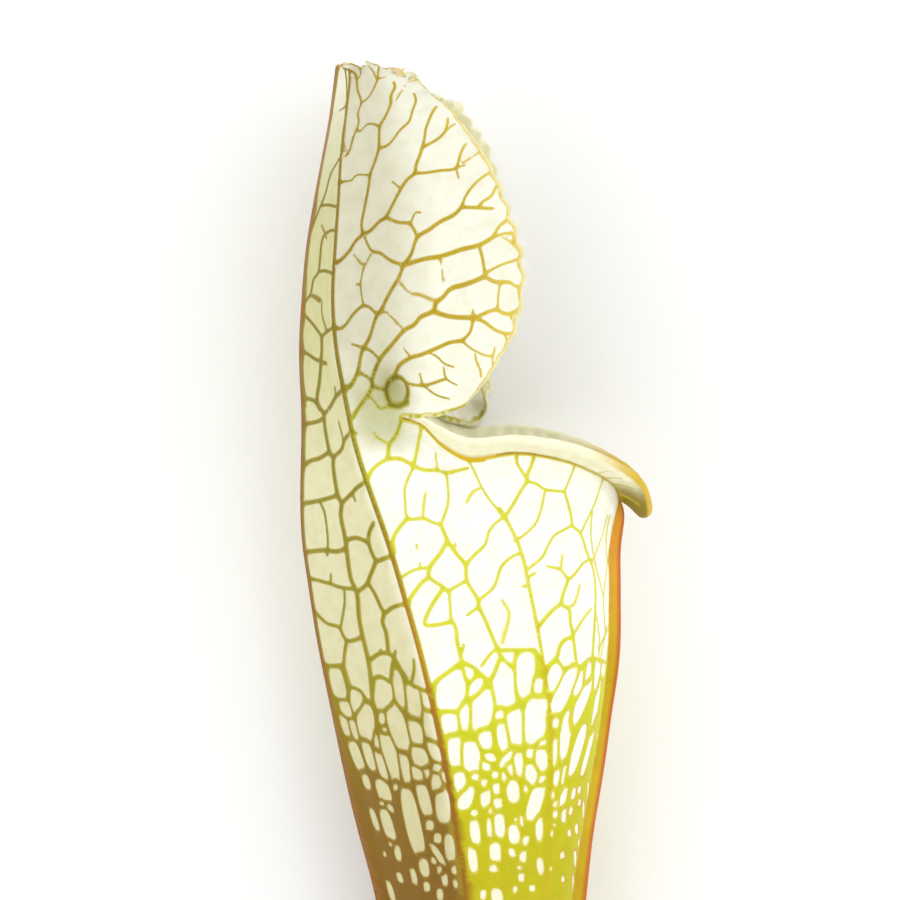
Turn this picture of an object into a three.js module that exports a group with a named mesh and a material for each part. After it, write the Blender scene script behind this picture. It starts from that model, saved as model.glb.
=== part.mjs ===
// One leaf of a white-topped pitcher plant, as picked: a hollow tube on a narrow stalk, with a rolled
// lip round its mouth, a narrow wing down its front and a domed, wavy hood that grows on from its back.
// It grew as one piece, so it is one solid. It lies on its side, its long way along Y and the hood at +Y.
//
// The leaf is described as it grew, upright, in millimetres: forward is from its back to its lip,
// height is from the cut, and side is the distance from its middle plane. Each half is a sheet of
// columns, numbered from the midrib of the back round to the front, and of rows from the cut upwards.
import * as THREE from "three";
import { mergeVertices } from "three/addons/utils/BufferGeometryUtils.js";

// Columns of one half. The tube uses them all. The hood grows on from the back ones, up to NECK, and
// its lobes spread out from there, so between the rim and the hood's lower edge the sheet is slit.
const MIDRIB = 0;
const RIDGE = 6;
const NECK = 10;
const RIB = 14;
const LOBE = 18;
const FRONT = 22;

const WALL = { floor: 1.3, tube: 0.9, hood: 0.75 };
const HOLLOW_FLOOR = 62;
const FLOOR_DIP = 2;
// Beside the middle plane the hollow keeps at least this share of the outside's distance from it.
const HOLLOW_SHARE = 0.3;

// The tube's sections: height, back, then the ridge and the rib as forward and side, front, and wing.
const TUBE = [
  { height: 0, back: 6.2, ridge: [9.7, 3.1], rib: [12.3, 1.9], front: 13.6, wing: 1.0 },
  { height: 25, back: 5.7, ridge: [9.2, 3.3], rib: [12.1, 2.1], front: 13.3, wing: 1.9 },
  { height: 50, back: 4.8, ridge: [8.6, 3.8], rib: [11.9, 2.4], front: 13.1, wing: 3.0 },
  { height: 80, back: 3.4, ridge: [7.8, 4.5], rib: [11.7, 3.0], front: 13.1, wing: 3.8 },
  { height: 110, back: 1.7, ridge: [6.8, 5.3], rib: [11.4, 3.6], front: 12.9, wing: 4.2 },
  { height: 140, back: -0.4, ridge: [5.6, 6.2], rib: [11.1, 4.3], front: 12.8, wing: 4.2 },
  { height: 170, back: -3.2, ridge: [4.3, 7.7], rib: [11.2, 5.3], front: 13.1, wing: 3.9 },
  { height: 200, back: -7.1, ridge: [2.8, 10.2], rib: [12.2, 6.9], front: 14.7, wing: 3.4 },
  { height: 230, back: -12.6, ridge: [1.3, 13.6], rib: [13.7, 9.0], front: 17.4, wing: 2.9 },
  { height: 246, back: -16.8, ridge: [-0.8, 16.4], rib: [14.0, 12.2], front: 19.8, wing: 2.5 },
  { height: 259, back: -19.8, ridge: [-3.3, 18.1], rib: [14.2, 15.0], front: 21.9, wing: 2.4 },
  { height: 271.5, back: -22.5, ridge: [-6.2, 18.8], rib: [12.6, 17.8], front: 23.3, wing: 2.5 },
  { height: 284.5, back: -24.6, ridge: [-9.9, 18.2], rib: [10.1, 19.6], front: 23.5, wing: 2.1 },
];
const TUBE_TOP = TUBE[TUBE.length - 1].height;
// How far the tube's walls bow outwards between those corners, as a share of the distance.
const BOW = { back: 0.05, flank: 0.07, front: 0.2 };

// The rim of the mouth from the neck round to the front, and the hood's rows, as column, forward,
// height and side. The rim's last one mirrors the one before the front, so that the front is round.
const RIM = [
  [NECK, -9.2, 307.9, 17.9],
  [11, -5.9, 306.8, 18.5],
  [12, -3.0, 303.9, 19.1],
  [RIB, 1.6, 301.6, 19.8],
  [16, 8.6, 302.5, 19.6],
  [LOBE, 15.4, 301.4, 17.2],
  [19.5, 20.4, 299.4, 12.6],
  [21, 24.3, 296.8, 6.0],
  [FRONT, 25.4, 294.4, 0],
  [23, 24.3, 296.8, -6.0],
];
const HOOD = [
  [
    [MIDRIB, -25.2, 309.2, 0],
    [RIDGE, -17.3, 307.8, 14.8],
    [NECK, -9.2, 307.9, 17.9],
    [RIB, -5.0, 308.0, 19.1],
    [LOBE, -1.6, 308.7, 19.7],
    [FRONT, 1.0, 310.6, 19.8],
  ],
  [
    [MIDRIB, -25.5, 317.8, 0],
    [RIDGE, -19.2, 318.0, 13.5],
    [NECK, -12.0, 316.0, 17.6],
    [RIB, -6.2, 314.9, 20.4],
    [LOBE, -0.6, 314.9, 21.6],
    [FRONT, 4.8, 315.4, 21.6],
  ],
  [
    [MIDRIB, -25.1, 326.0, 0],
    [RIDGE, -19.8, 326.4, 12.8],
    [NECK, -12.6, 324.4, 18.0],
    [RIB, -5.8, 322.6, 21.0],
    [LOBE, 1.6, 322.0, 22.4],
    [FRONT, 8.8, 322.0, 22.4],
  ],
  [
    [MIDRIB, -24.4, 334.0, 0],
    [RIDGE, -19.4, 334.6, 12.3],
    [NECK, -12.2, 333.2, 17.9],
    [RIB, -5.0, 332.2, 21.0],
    [LOBE, 2.6, 331.6, 22.6],
    [FRONT, 10.0, 331.4, 22.4],
  ],
  [
    [MIDRIB, -23.2, 341.4, 0],
    [RIDGE, -18.9, 342.0, 11.5],
    [NECK, -12.2, 341.6, 16.9],
    [RIB, -5.4, 341.2, 20.2],
    [LOBE, 1.2, 340.8, 22.2],
    [FRONT, 7.6, 340.4, 22.2],
  ],
  [
    [MIDRIB, -22.0, 347.8, 0],
    [RIDGE, -18.5, 348.6, 10.2],
    [NECK, -12.8, 348.8, 15.2],
    [RIB, -7.2, 348.8, 18.6],
    [LOBE, -1.4, 348.4, 20.8],
    [FRONT, 4.4, 347.6, 21.4],
  ],
  [
    [MIDRIB, -20.8, 354.2, 0],
    [RIDGE, -17.7, 355.4, 8.3],
    [NECK, -13.4, 356.2, 12.6],
    [RIB, -9.2, 356.4, 15.6],
    [LOBE, -4.6, 355.6, 18.0],
    [FRONT, 0.2, 353.8, 19.2],
  ],
  [
    [MIDRIB, -20.1, 359.2, 0],
    [RIDGE, -17.2, 360.2, 6.2],
    [NECK, -14.1, 360.8, 9.6],
    [RIB, -11.1, 360.8, 12.4],
    [LOBE, -7.8, 359.8, 14.8],
    [FRONT, -4.6, 357.9, 16.2],
  ],
  [
    [MIDRIB, -19.6, 363.6, 0],
    [RIDGE, -17.2, 363.6, 4.0],
    [NECK, -14.8, 363.4, 6.6],
    [RIB, -12.8, 363.2, 8.8],
    [LOBE, -11.2, 362.6, 10.8],
    [FRONT, -9.8, 361.7, 12.6],
  ],
];
const HOOD_TOP = HOOD.length - 1;
// The far half's lower lobe hangs lower than the near one's.
const FAR_LOBE = { drop: 4.6, forward: 2.6, rows: 1.6 };

// Relief: the midrib's keel, the two ribs of each half, the hood's waves and the hollow at the neck.
const KEEL = { rise: 0.8, reach: 0.7 };
const RIDGE_RELIEF = { rise: 0.4, reach: 0.6 };
const RIB_RELIEF = { rise: 0.25, reach: 0.6 };
// The waves turn about an eye inside each half of the hood, given as shares of its columns and rows.
const WAVE = { near: 0.9, far: 1.3, count: 12, nearPhase: 0.6, farPhase: 2.3, eye: [0.25, 0.4] };
const WAVY_ROWS = 2;
const CALM_ROWS = [1.2, 2.4];
const DIMPLE = { column: 10.2, row: 0.55, depth: 1.3, columns: 1.7, rows: 0.4 };

// The wing stands off the front. The lip flares out from the rim and ends in a bead. Its stations are
// column, flare, bead radius and the angle that the flare rises at, in degrees.
const WING = { base: 0.6, tip: 0.3, tipRound: 0.25 };
const LIP = [
  [NECK, 0, 0, 60],
  [11, 0.9, 0.45, 62],
  [12, 2.4, 0.6, 62],
  [RIB, 3.0, 0.7, 58],
  [16, 2.5, 0.85, 50],
  [LOBE, 2.6, 0.95, 45],
  [20, 3.4, 1.05, 25],
  [21, 4.4, 1.15, 8],
  [FRONT, 4.9, 1.2, -16],
  [23, 4.4, 1.15, 8],
];
const FLARE_STEPS = [0.35, 0.7];
const BEAD_TURN = 2.2;
const BEAD_STEPS = 6;
const EDGE_ROUND = 0.28;

// How the leaf lies: pitched and rolled, in degrees, until its flank, its lip and its cut end touch the
// ground, then moved so that its middle is over the origin. Its lowest spots are pressed flat.
const REST_PITCH = 3.56;
const REST_ROLL = -4.31;
const REST_SHIFT = { x: -0.87, y: -181.8, lowest: 2.75 };
const PRESSED = 0.3;

const COLUMNS = [
  0, 0.35, 1.2, 2.6, 4.2, 5.4, 6, 6.6, 7.8, 9, 10, 11, 12, 13.4, 14, 14.6, 16, 17.2, 18.4, 19.5, 20.4, 21.2, 22,
];
const TUBE_ROWS = [0, 20, 42, 62, 85, 108, 130, 152, 172, 190, 206, 220, 232, 243, 253, 263, 274];
const CROWN_STEPS = 5;
const HOOD_STEPS = 3;

const { degToRad, lerp, smoothstep } = THREE.MathUtils;
const point = (forward, height, side) => new THREE.Vector3(forward, height, side);
const steps = (count, span) => Array.from({ length: count + 1 }, (_, k) => (span * k) / count);
const peak = (distance, { rise, reach }) => rise * Math.max(0, 1 - Math.abs(distance) / reach);

// A smooth curve through the values at the knots, its slopes taken from each knot's neighbours.
function through(knots, values, x) {
  const last = knots.length - 1;
  let k = 0;
  while (k < last - 1 && x > knots[k + 1]) k += 1;
  const slope = (j) => {
    const a = Math.max(j - 1, 0);
    const b = Math.min(j + 1, last);
    return (values[b] - values[a]) / (knots[b] - knots[a]);
  };
  const span = knots[k + 1] - knots[k];
  const t = (x - knots[k]) / span;
  const ends = values[k] * (1 + 2 * t) * (1 - t) ** 2 + values[k + 1] * t * t * (3 - 2 * t);
  return ends + span * (slope(k) * t * (1 - t) ** 2 - slope(k + 1) * t * t * (1 - t));
}

// The values of a list of stations at one column. Each station starts with its column.
function along(stations, column) {
  const knots = stations.map((s) => s[0]);
  return stations[0].slice(1).map((_, n) => through(knots, stations.map((s) => s[n + 1]), column));
}

// A point between two corners of a section, bowed outwards.
function bowed(a, b, share, bow) {
  const [ahead, aside] = [b[0] - a[0], b[1] - a[1]];
  const lift = 4 * bow * share * (1 - share);
  return [a[0] + ahead * share - aside * lift, a[1] + aside * share + ahead * lift];
}

function sectionAt(height) {
  const heights = TUBE.map((s) => s.height);
  const value = (pick) => through(heights, TUBE.map(pick), height);
  return {
    back: [value((s) => s.back), 0],
    ridge: [value((s) => s.ridge[0]), value((s) => s.ridge[1])],
    rib: [value((s) => s.rib[0]), value((s) => s.rib[1])],
    front: [value((s) => s.front), 0],
    wing: value((s) => s.wing),
  };
}

function tubePoint(side, column, height) {
  const { back, ridge, rib, front } = sectionAt(height);
  let at;
  if (column <= RIDGE) at = bowed(back, ridge, column / RIDGE, BOW.back);
  else if (column <= RIB) at = bowed(ridge, rib, (column - RIDGE) / (RIB - RIDGE), BOW.flank);
  else at = bowed(rib, front, (column - RIB) / (FRONT - RIB), BOW.front);
  return point(at[0], height, at[1]);
}

// A point of the hood. Its rows have a corner at the ridge, and its far lobe hangs lower.
function hoodPoint(side, column, row) {
  const knots = HOOD.map((_, j) => j);
  const stations = HOOD[0].map((first, k) =>
    first.map((_, n) => through(knots, HOOD.map((r) => r[k][n]), row)),
  );
  const at = point(...along(column <= RIDGE ? stations.slice(0, 2) : stations.slice(1), column));
  if (side > 0) return at;
  const hang = smoothstep(column, NECK, FRONT) * (1 - smoothstep(row, 0, FAR_LOBE.rows));
  return at.add(point(FAR_LOBE.forward * hang, -FAR_LOBE.drop * hang, 0));
}

// The crown joins the tube's last section to the rim, and at the back it runs on into the hood.
function crownPoint(side, column, share) {
  const start = tubePoint(side, column, TUBE_TOP);
  const end = column <= NECK ? hoodPoint(side, column, 0) : point(...along(RIM, column));
  const reach = end.clone().sub(start);
  const size = reach.length();
  const leave = start.clone().sub(tubePoint(side, column, TUBE_TOP - 1)).normalize();
  const back = Math.min(column, NECK);
  const onward = hoodPoint(side, back, 0.05).sub(hoodPoint(side, back, 0)).normalize();
  const arrive = onward.lerp(reach.normalize(), smoothstep(column, NECK, NECK + 2));
  const [t, s] = [share, 1 - share];
  return start
    .multiplyScalar((1 + 2 * t) * s * s)
    .addScaledVector(end, t * t * (3 - 2 * t))
    .addScaledVector(leave, size * t * s * s)
    .addScaledVector(arrive, -size * t * t * s);
}

// The three stretches of the sheet. A step is what the sheet's directions are measured over.
const COLUMN_STEP = 0.2;
const TUBE_SHEET = { at: tubePoint, top: TUBE_TOP, step: 0.5 };
const CROWN_SHEET = { at: crownPoint, top: 1, step: 0.05 };
const HOOD_SHEET = { at: hoodPoint, top: HOOD_TOP, step: 0.05 };

function above(sheet, side, column, row) {
  return sheet.at(side, column, Math.min(row + sheet.step, sheet.top));
}

function below(sheet, side, column, row) {
  if (row > 0 || sheet === TUBE_SHEET) return sheet.at(side, column, Math.max(row - sheet.step, 0));
  if (sheet === CROWN_SHEET) return tubePoint(side, column, TUBE_TOP - TUBE_SHEET.step);
  return column <= NECK ? crownPoint(side, column, 1 - CROWN_SHEET.step) : hoodPoint(side, column, 0);
}

// The sheet's directions at a point of one half: to the front, upwards and outwards.
function directions(sheet, side, column, row) {
  const left = sheet.at(side, Math.max(column - COLUMN_STEP, MIDRIB), row);
  const across = sheet.at(side, Math.min(column + COLUMN_STEP, FRONT), row).sub(left).normalize();
  const up = above(sheet, side, column, row).sub(below(sheet, side, column, row)).normalize();
  const out = across.clone().cross(up).normalize();
  if (column === MIDRIB || (column === FRONT && sheet !== HOOD_SHEET)) out.setZ(0).normalize();
  return { across, up, out };
}

// The hood's waves grow towards its free edge, and its neck is pinched in beside each lobe.
function hoodRelief(side, column, row) {
  const edge = Math.max((column - NECK) / (FRONT - NECK), (row - HOOD_TOP) / WAVY_ROWS + 1, 0);
  const calm = smoothstep(row + column / HOOD_TOP, ...CALM_ROWS) * smoothstep(column, MIDRIB, RIDGE);
  const free = edge * edge * calm;
  const turn = Math.atan2(row / HOOD_TOP - WAVE.eye[1], column / FRONT - WAVE.eye[0]);
  const [size, phase] = side > 0 ? [WAVE.near, WAVE.nearPhase] : [WAVE.far, WAVE.farPhase];
  const off = ((column - DIMPLE.column) / DIMPLE.columns) ** 2 + ((row - DIMPLE.row) / DIMPLE.rows) ** 2;
  return size * free * Math.sin(WAVE.count * turn + phase) - DIMPLE.depth * Math.exp(-off);
}

function wallAt(sheet, row) {
  if (sheet === HOOD_SHEET) return WALL.hood;
  if (sheet === CROWN_SHEET) return lerp(WALL.tube, WALL.hood, row);
  return lerp(WALL.floor, WALL.tube, smoothstep(row, HOLLOW_FLOOR, 2 * HOLLOW_FLOOR));
}

// A point of the near half's outside, or of its inside. The far half's is mirrored when it is used.
function skin(sheet, side, column, row, inside = false) {
  if (sheet === CROWN_SHEET && row === 1 && column <= NECK) return skin(HOOD_SHEET, side, column, 0, inside);
  const { out } = directions(sheet, side, column, row);
  const at = sheet.at(side, column, row);
  const least = HOLLOW_SHARE * at.z;
  const wave = sheet === HOOD_SHEET ? hoodRelief(side, column, row) : 0;
  if (inside) {
    at.addScaledVector(out, wave - wallAt(sheet, row));
    return at.setZ(Math.max(at.z, least));
  }
  const tubeRib = sheet === HOOD_SHEET ? 0 : peak(column - RIB, RIB_RELIEF);
  const ribs = peak(column - MIDRIB, KEEL) + peak(column - RIDGE, RIDGE_RELIEF) + tubeRib;
  return at.addScaledVector(out, wave + ribs);
}

// One row of the tube's outside, which ends in the wing. The wing fades out under the lip.
function outerRow(sheet, side, row) {
  const fade = sheet === CROWN_SHEET ? 1 - row ** 4 : 1;
  const { rib, front, wing } = sectionAt(sheet === CROWN_SHEET ? TUBE_TOP : row);
  const share = 1 - (fade * WING.base) / (rib[1] + 4 * BOW.front * (front[0] - rib[0]));
  const squeezed = COLUMNS.map((c) => (c > RIB ? RIB + (c - RIB) * share : c));
  const points = squeezed.map((c) => skin(sheet, side, c, row));
  const tip = skin(sheet, side, FRONT, row);
  const tipSide = point(tip.x + fade * (wing - WING.tipRound), tip.y, fade * WING.tip);
  return [...points, tipSide, tip.setX(tip.x + fade * wing)];
}

// The free edge of the hood, from its outside round to its inside.
function hoodEdge(side, column, row) {
  const { across, up } = directions(HOOD_SHEET, side, column, row);
  const outer = skin(HOOD_SHEET, side, column, row);
  const inner = skin(HOOD_SHEET, side, column, row, true);
  const away = point(0, 0, 0);
  if (column === FRONT) away.add(across);
  if (row === HOOD_TOP) away.add(up);
  if (row === 0 && column > NECK) away.sub(up);
  return [outer, outer.clone().lerp(inner, 0.5).addScaledVector(away.normalize(), EDGE_ROUND), inner];
}

// The lip at one column of the rim, from the outside, along the flare, round the bead, to the inside.
function lipEdge(side, column) {
  const [outer, middle, inner] =
    column === NECK
      ? hoodEdge(side, NECK, 0)
      : [skin(CROWN_SHEET, side, column, 1), null, skin(CROWN_SHEET, side, column, 1, true)];
  const [flare, bead, rise] = along(LIP, column);
  const root = middle ?? outer.clone().lerp(inner, 0.5);
  const away = directions(CROWN_SHEET, side, column, 1).out.setY(0).normalize();
  const [turnCos, turnSin] = [Math.cos(degToRad(rise)), Math.sin(degToRad(rise))];
  const reach = away.clone().multiplyScalar(turnCos).setY(turnSin);
  const under = away.clone().multiplyScalar(turnSin).setY(-turnCos);
  const spot = (ahead, down) => root.clone().addScaledVector(reach, ahead).addScaledVector(under, down);
  const thick = WALL.tube / 2;
  const round = steps(BEAD_STEPS, 2 * BEAD_TURN).map((turn) => {
    const angle = BEAD_TURN - turn;
    return spot(flare + bead * Math.cos(angle), bead * Math.sin(angle));
  });
  return [
    outer,
    ...FLARE_STEPS.map((s) => (middle ? outer.clone() : spot(s * flare, thick))),
    ...round,
    ...FLARE_STEPS.toReversed().map((s) => (middle ? inner.clone() : spot(s * flare, -thick))),
    inner,
  ];
}

// The triangles of the whole leaf, as a flat list of corners. Closer than SAME is one point.
const SAME = 1e-4;
const corners = [];

function triangle(a, b, c) {
  if (a.distanceTo(b) < SAME || b.distanceTo(c) < SAME || c.distanceTo(a) < SAME) return;
  corners.push(a, b, c);
}

// A grid of points as triangles, seen from the side where its columns run right and its rows run up.
function patch(rows, mirrored, flipped = false) {
  const place = (p) => (mirrored ? point(p.x, p.y, -p.z) : p);
  const grid = rows.map((row) => row.map(place));
  for (let j = 0; j < grid.length - 1; j += 1) {
    for (let i = 0; i < grid[j].length - 1; i += 1) {
      const [a, b, c, d] = [grid[j][i], grid[j][i + 1], grid[j + 1][i + 1], grid[j + 1][i]];
      if (mirrored === flipped) {
        triangle(a, b, c);
        triangle(a, c, d);
      } else {
        triangle(a, c, b);
        triangle(a, d, c);
      }
    }
  }
}

const turned = (grid) => grid[0].map((_, k) => grid.map((row) => row[k]));

function half(side) {
  const mirrored = side < 0;
  const inSlit = COLUMNS.filter((c) => c >= NECK);
  const crownRows = steps(CROWN_STEPS, 1);
  const hoodRows = steps(HOOD_STEPS * HOOD_TOP, HOOD_TOP);
  const hollowRows = TUBE_ROWS.filter((h) => h >= HOLLOW_FLOOR);
  const inside = (sheet) => (row) => COLUMNS.map((c) => skin(sheet, side, c, row, true));

  const outerTube = [
    ...TUBE_ROWS.map((h) => outerRow(TUBE_SHEET, side, h)),
    ...crownRows.map((s) => outerRow(CROWN_SHEET, side, s)),
  ];
  patch(outerTube, mirrored);
  patch(hoodRows.map((r) => COLUMNS.map((c) => skin(HOOD_SHEET, side, c, r))), mirrored);

  const innerTube = [...hollowRows.map(inside(TUBE_SHEET)), ...crownRows.map(inside(CROWN_SHEET))];
  patch(innerTube, mirrored, true);
  patch(hoodRows.map(inside(HOOD_SHEET)), mirrored, true);

  patch(turned(inSlit.map((c) => lipEdge(side, c))), mirrored);
  patch(turned(inSlit.map((c) => hoodEdge(side, c, 0))), mirrored, true);
  patch(hoodRows.map((r) => hoodEdge(side, FRONT, r)), mirrored);
  patch(turned(COLUMNS.map((c) => hoodEdge(side, c, HOOD_TOP))), mirrored);

  const cutMiddle = point((outerTube[0][0].x + outerTube[0].at(-1).x) / 2, 0, 0);
  patch([outerTube[0].map(() => cutMiddle), outerTube[0]], mirrored);
  const floor = innerTube[0];
  const floorMiddle = point((floor[0].x + floor.at(-1).x) / 2, HOLLOW_FLOOR - FLOOR_DIP, 0);
  patch([floor.map(() => floorMiddle), floor], mirrored, true);
}

half(1);
half(-1);

// The leaf is laid down on its far side.
const lay = new THREE.Matrix4()
  .makeTranslation(REST_SHIFT.x, REST_SHIFT.y, REST_SHIFT.lowest - PRESSED)
  .multiply(new THREE.Matrix4().makeRotationY(degToRad(REST_ROLL)))
  .multiply(new THREE.Matrix4().makeRotationX(degToRad(REST_PITCH)));
const laid = corners.map((p) => p.clone().applyMatrix4(lay));
laid.forEach((p) => p.setZ(Math.max(p.z, 0)));

const loose = new THREE.BufferGeometry().setFromPoints(laid);
const leafMaterial = new THREE.MeshStandardMaterial({ color: 0xdfe3c0, roughness: 0.5, metalness: 0 });
const leaf = new THREE.Mesh(mergeVertices(loose, SAME), leafMaterial);
leaf.name = "pitcher_leaf";

const plant = new THREE.Group();
plant.add(leaf);

export default plant;
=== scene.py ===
import math

import bpy
import bmesh
import numpy as np
from mathutils import Matrix, Vector
from mathutils.geometry import delaunay_2d_cdt


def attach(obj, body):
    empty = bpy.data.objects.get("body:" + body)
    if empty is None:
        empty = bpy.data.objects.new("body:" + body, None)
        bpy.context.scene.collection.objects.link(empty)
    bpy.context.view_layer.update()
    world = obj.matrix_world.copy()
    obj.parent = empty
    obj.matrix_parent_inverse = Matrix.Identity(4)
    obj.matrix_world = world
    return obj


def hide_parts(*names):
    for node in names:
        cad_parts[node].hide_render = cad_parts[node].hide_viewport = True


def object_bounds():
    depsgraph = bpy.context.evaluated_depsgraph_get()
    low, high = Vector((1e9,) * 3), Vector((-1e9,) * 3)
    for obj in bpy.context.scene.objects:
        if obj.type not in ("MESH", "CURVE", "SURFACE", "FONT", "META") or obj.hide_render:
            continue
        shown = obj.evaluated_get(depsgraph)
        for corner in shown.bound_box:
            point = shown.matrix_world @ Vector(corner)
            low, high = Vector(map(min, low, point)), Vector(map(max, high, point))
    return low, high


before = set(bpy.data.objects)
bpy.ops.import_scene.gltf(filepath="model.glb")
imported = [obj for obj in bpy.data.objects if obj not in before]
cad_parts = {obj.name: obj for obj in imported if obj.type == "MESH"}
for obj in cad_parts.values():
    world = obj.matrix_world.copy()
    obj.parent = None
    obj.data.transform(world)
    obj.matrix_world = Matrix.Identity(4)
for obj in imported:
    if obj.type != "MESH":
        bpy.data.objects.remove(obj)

cad_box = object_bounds()

# Columns of one half, from the midrib of the back round to the front
MIDRIB, RIDGE, NECK, RIB, LOBE, FRONT = 0.0, 6.0, 10.0, 14.0, 18.0, 22.0

WALL_FLOOR, WALL_TUBE, WALL_HOOD = 1.3, 0.9, 0.75
HOLLOW_FLOOR = 62.0
FLOOR_DIP = 2.0
HOLLOW_SHARE = 0.3

# The tube's sections: height, back, ridge forward and side, rib forward and side, front, wing
TUBE = np.array([
    (0, 6.2, 9.7, 3.1, 12.3, 1.9, 13.6, 1.0),
    (25, 5.7, 9.2, 3.3, 12.1, 2.1, 13.3, 1.9),
    (50, 4.8, 8.6, 3.8, 11.9, 2.4, 13.1, 3.0),
    (80, 3.4, 7.8, 4.5, 11.7, 3.0, 13.1, 3.8),
    (110, 1.7, 6.8, 5.3, 11.4, 3.6, 12.9, 4.2),
    (140, -0.4, 5.6, 6.2, 11.1, 4.3, 12.8, 4.2),
    (170, -3.2, 4.3, 7.7, 11.2, 5.3, 13.1, 3.9),
    (200, -7.1, 2.8, 10.2, 12.2, 6.9, 14.7, 3.4),
    (230, -12.6, 1.3, 13.6, 13.7, 9.0, 17.4, 2.9),
    (246, -16.8, -0.8, 16.4, 14.0, 12.2, 19.8, 2.5),
    (259, -19.8, -3.3, 18.1, 14.2, 15.0, 21.9, 2.4),
    (271.5, -22.5, -6.2, 18.8, 12.6, 17.8, 23.3, 2.5),
    (284.5, -24.6, -9.9, 18.2, 10.1, 19.6, 23.5, 2.1),
])
TUBE_TOP = 284.5
BOW_BACK, BOW_FLANK, BOW_FRONT = 0.05, 0.07, 0.2

# The rim: column, forward, height, side
RIM = np.array([
    (NECK, -9.2, 307.9, 17.9),
    (11, -5.9, 306.8, 18.5),
    (12, -3.0, 303.9, 19.1),
    (RIB, 1.6, 301.6, 19.8),
    (16, 8.6, 302.5, 19.6),
    (LOBE, 15.4, 301.4, 17.2),
    (19.5, 20.4, 299.4, 12.6),
    (21, 24.3, 296.8, 6.0),
    (FRONT, 25.4, 294.4, 0),
    (23, 24.3, 296.8, -6.0),
])

# The hood's rows, each with its stations' forward, height and side
HOOD_COLUMNS = np.array([MIDRIB, RIDGE, NECK, RIB, LOBE, FRONT])
HOOD = np.array([
    [(-25.2, 309.2, 0), (-17.3, 307.8, 14.8), (-9.2, 307.9, 17.9),
     (-5.0, 308.0, 19.1), (-1.6, 308.7, 19.7), (1.0, 310.6, 19.8)],
    [(-25.5, 317.8, 0), (-19.2, 318.0, 13.5), (-12.0, 316.0, 17.6),
     (-6.2, 314.9, 20.4), (-0.6, 314.9, 21.6), (4.8, 315.4, 21.6)],
    [(-25.1, 326.0, 0), (-19.8, 326.4, 12.8), (-12.6, 324.4, 18.0),
     (-5.8, 322.6, 21.0), (1.6, 322.0, 22.4), (8.8, 322.0, 22.4)],
    [(-24.4, 334.0, 0), (-19.4, 334.6, 12.3), (-12.2, 333.2, 17.9),
     (-5.0, 332.2, 21.0), (2.6, 331.6, 22.6), (10.0, 331.4, 22.4)],
    [(-23.2, 341.4, 0), (-18.9, 342.0, 11.5), (-12.2, 341.6, 16.9),
     (-5.4, 341.2, 20.2), (1.2, 340.8, 22.2), (7.6, 340.4, 22.2)],
    [(-22.0, 347.8, 0), (-18.5, 348.6, 10.2), (-12.8, 348.8, 15.2),
     (-7.2, 348.8, 18.6), (-1.4, 348.4, 20.8), (4.4, 347.6, 21.4)],
    [(-20.8, 354.2, 0), (-17.7, 355.4, 8.3), (-13.4, 356.2, 12.6),
     (-9.2, 356.4, 15.6), (-4.6, 355.6, 18.0), (0.2, 353.8, 19.2)],
    [(-20.1, 359.2, 0), (-17.2, 360.2, 6.2), (-14.1, 360.8, 9.6),
     (-11.1, 360.8, 12.4), (-7.8, 359.8, 14.8), (-4.6, 357.9, 16.2)],
    [(-19.6, 363.6, 0), (-17.2, 363.6, 4.0), (-14.8, 363.4, 6.6),
     (-12.8, 363.2, 8.8), (-11.2, 362.6, 10.8), (-9.8, 361.7, 12.6)],
])
HOOD_ROWS = len(HOOD) - 1
FAR_DROP, FAR_FORWARD, FAR_ROWS = 4.6, 2.6, 1.6

# Relief of the model, and its lip as column, flare, bead radius and rise in degrees
KEEL_RISE, KEEL_REACH = 0.8, 0.7
KEEL_FADE = [(240, 1), (270, 0.3), (300, 0.05), (352, 0.05)]
RIDGE_RISE, RIDGE_REACH = 0.4, 0.6
RIB_RISE, RIB_REACH = 0.25, 0.6
WAVE_COUNT, WAVE_EYE = 12, (0.25, 0.4)
WAVE_SIZE = {1: 0.9, -1: 1.3}
WAVE_PHASE = {1: 0.6, -1: 2.3}
WAVY_ROWS = 2
FRILL_COUNT, FRILL_EDGE = 44, (0.8, 1.0)
FRILL_SIZE = {1: 0.4, -1: 0.75}
FRILL_SWAY, FRILL_SWAYS = 1.6, 7
RUFFLE_ROWS, RUFFLE_START = (4.2, 5.4, 6.5, 7.6), 15
RUFFLE_FORWARD, RUFFLE_UP = 1.6, 1.2
PLEATS, PLEAT_RISE, PLEAT_REACH = (10.55, 11.05, 11.5), 0.55, 0.24
PLEAT_ENDS = (13, 5, 3)
CALM_ROWS = (1.2, 2.4)
DIMPLE = {"column": 10.2, "row": 0.55, "depth": 1.3, "columns": 1.7, "rows": 0.4}
WING_BASE, WING_TIP, WING_TIP_ROUND = 0.6, 0.3, 0.25
LIP = np.array([
    (NECK, 0, 0, 60),
    (11, 0.9, 0.45, 62),
    (12, 2.4, 0.6, 62),
    (RIB, 3.0, 0.7, 58),
    (16, 2.5, 0.85, 50),
    (LOBE, 2.6, 0.95, 45),
    (20, 3.4, 1.1, 25),
    (21, 4.3, 1.25, 8),
    (FRONT, 4.7, 1.4, -16),
    (23, 4.3, 1.25, 8),
])
BEAD_TURN = 2.2
BEAD_ROLL = 0.7
EDGE_ROUND, EDGE_OPENING = 0.364, 1.2

REST_PITCH, REST_ROLL = math.radians(3.56), math.radians(-4.31)
REST_SHIFT = np.array([-0.87, -181.8, 2.45])

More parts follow.
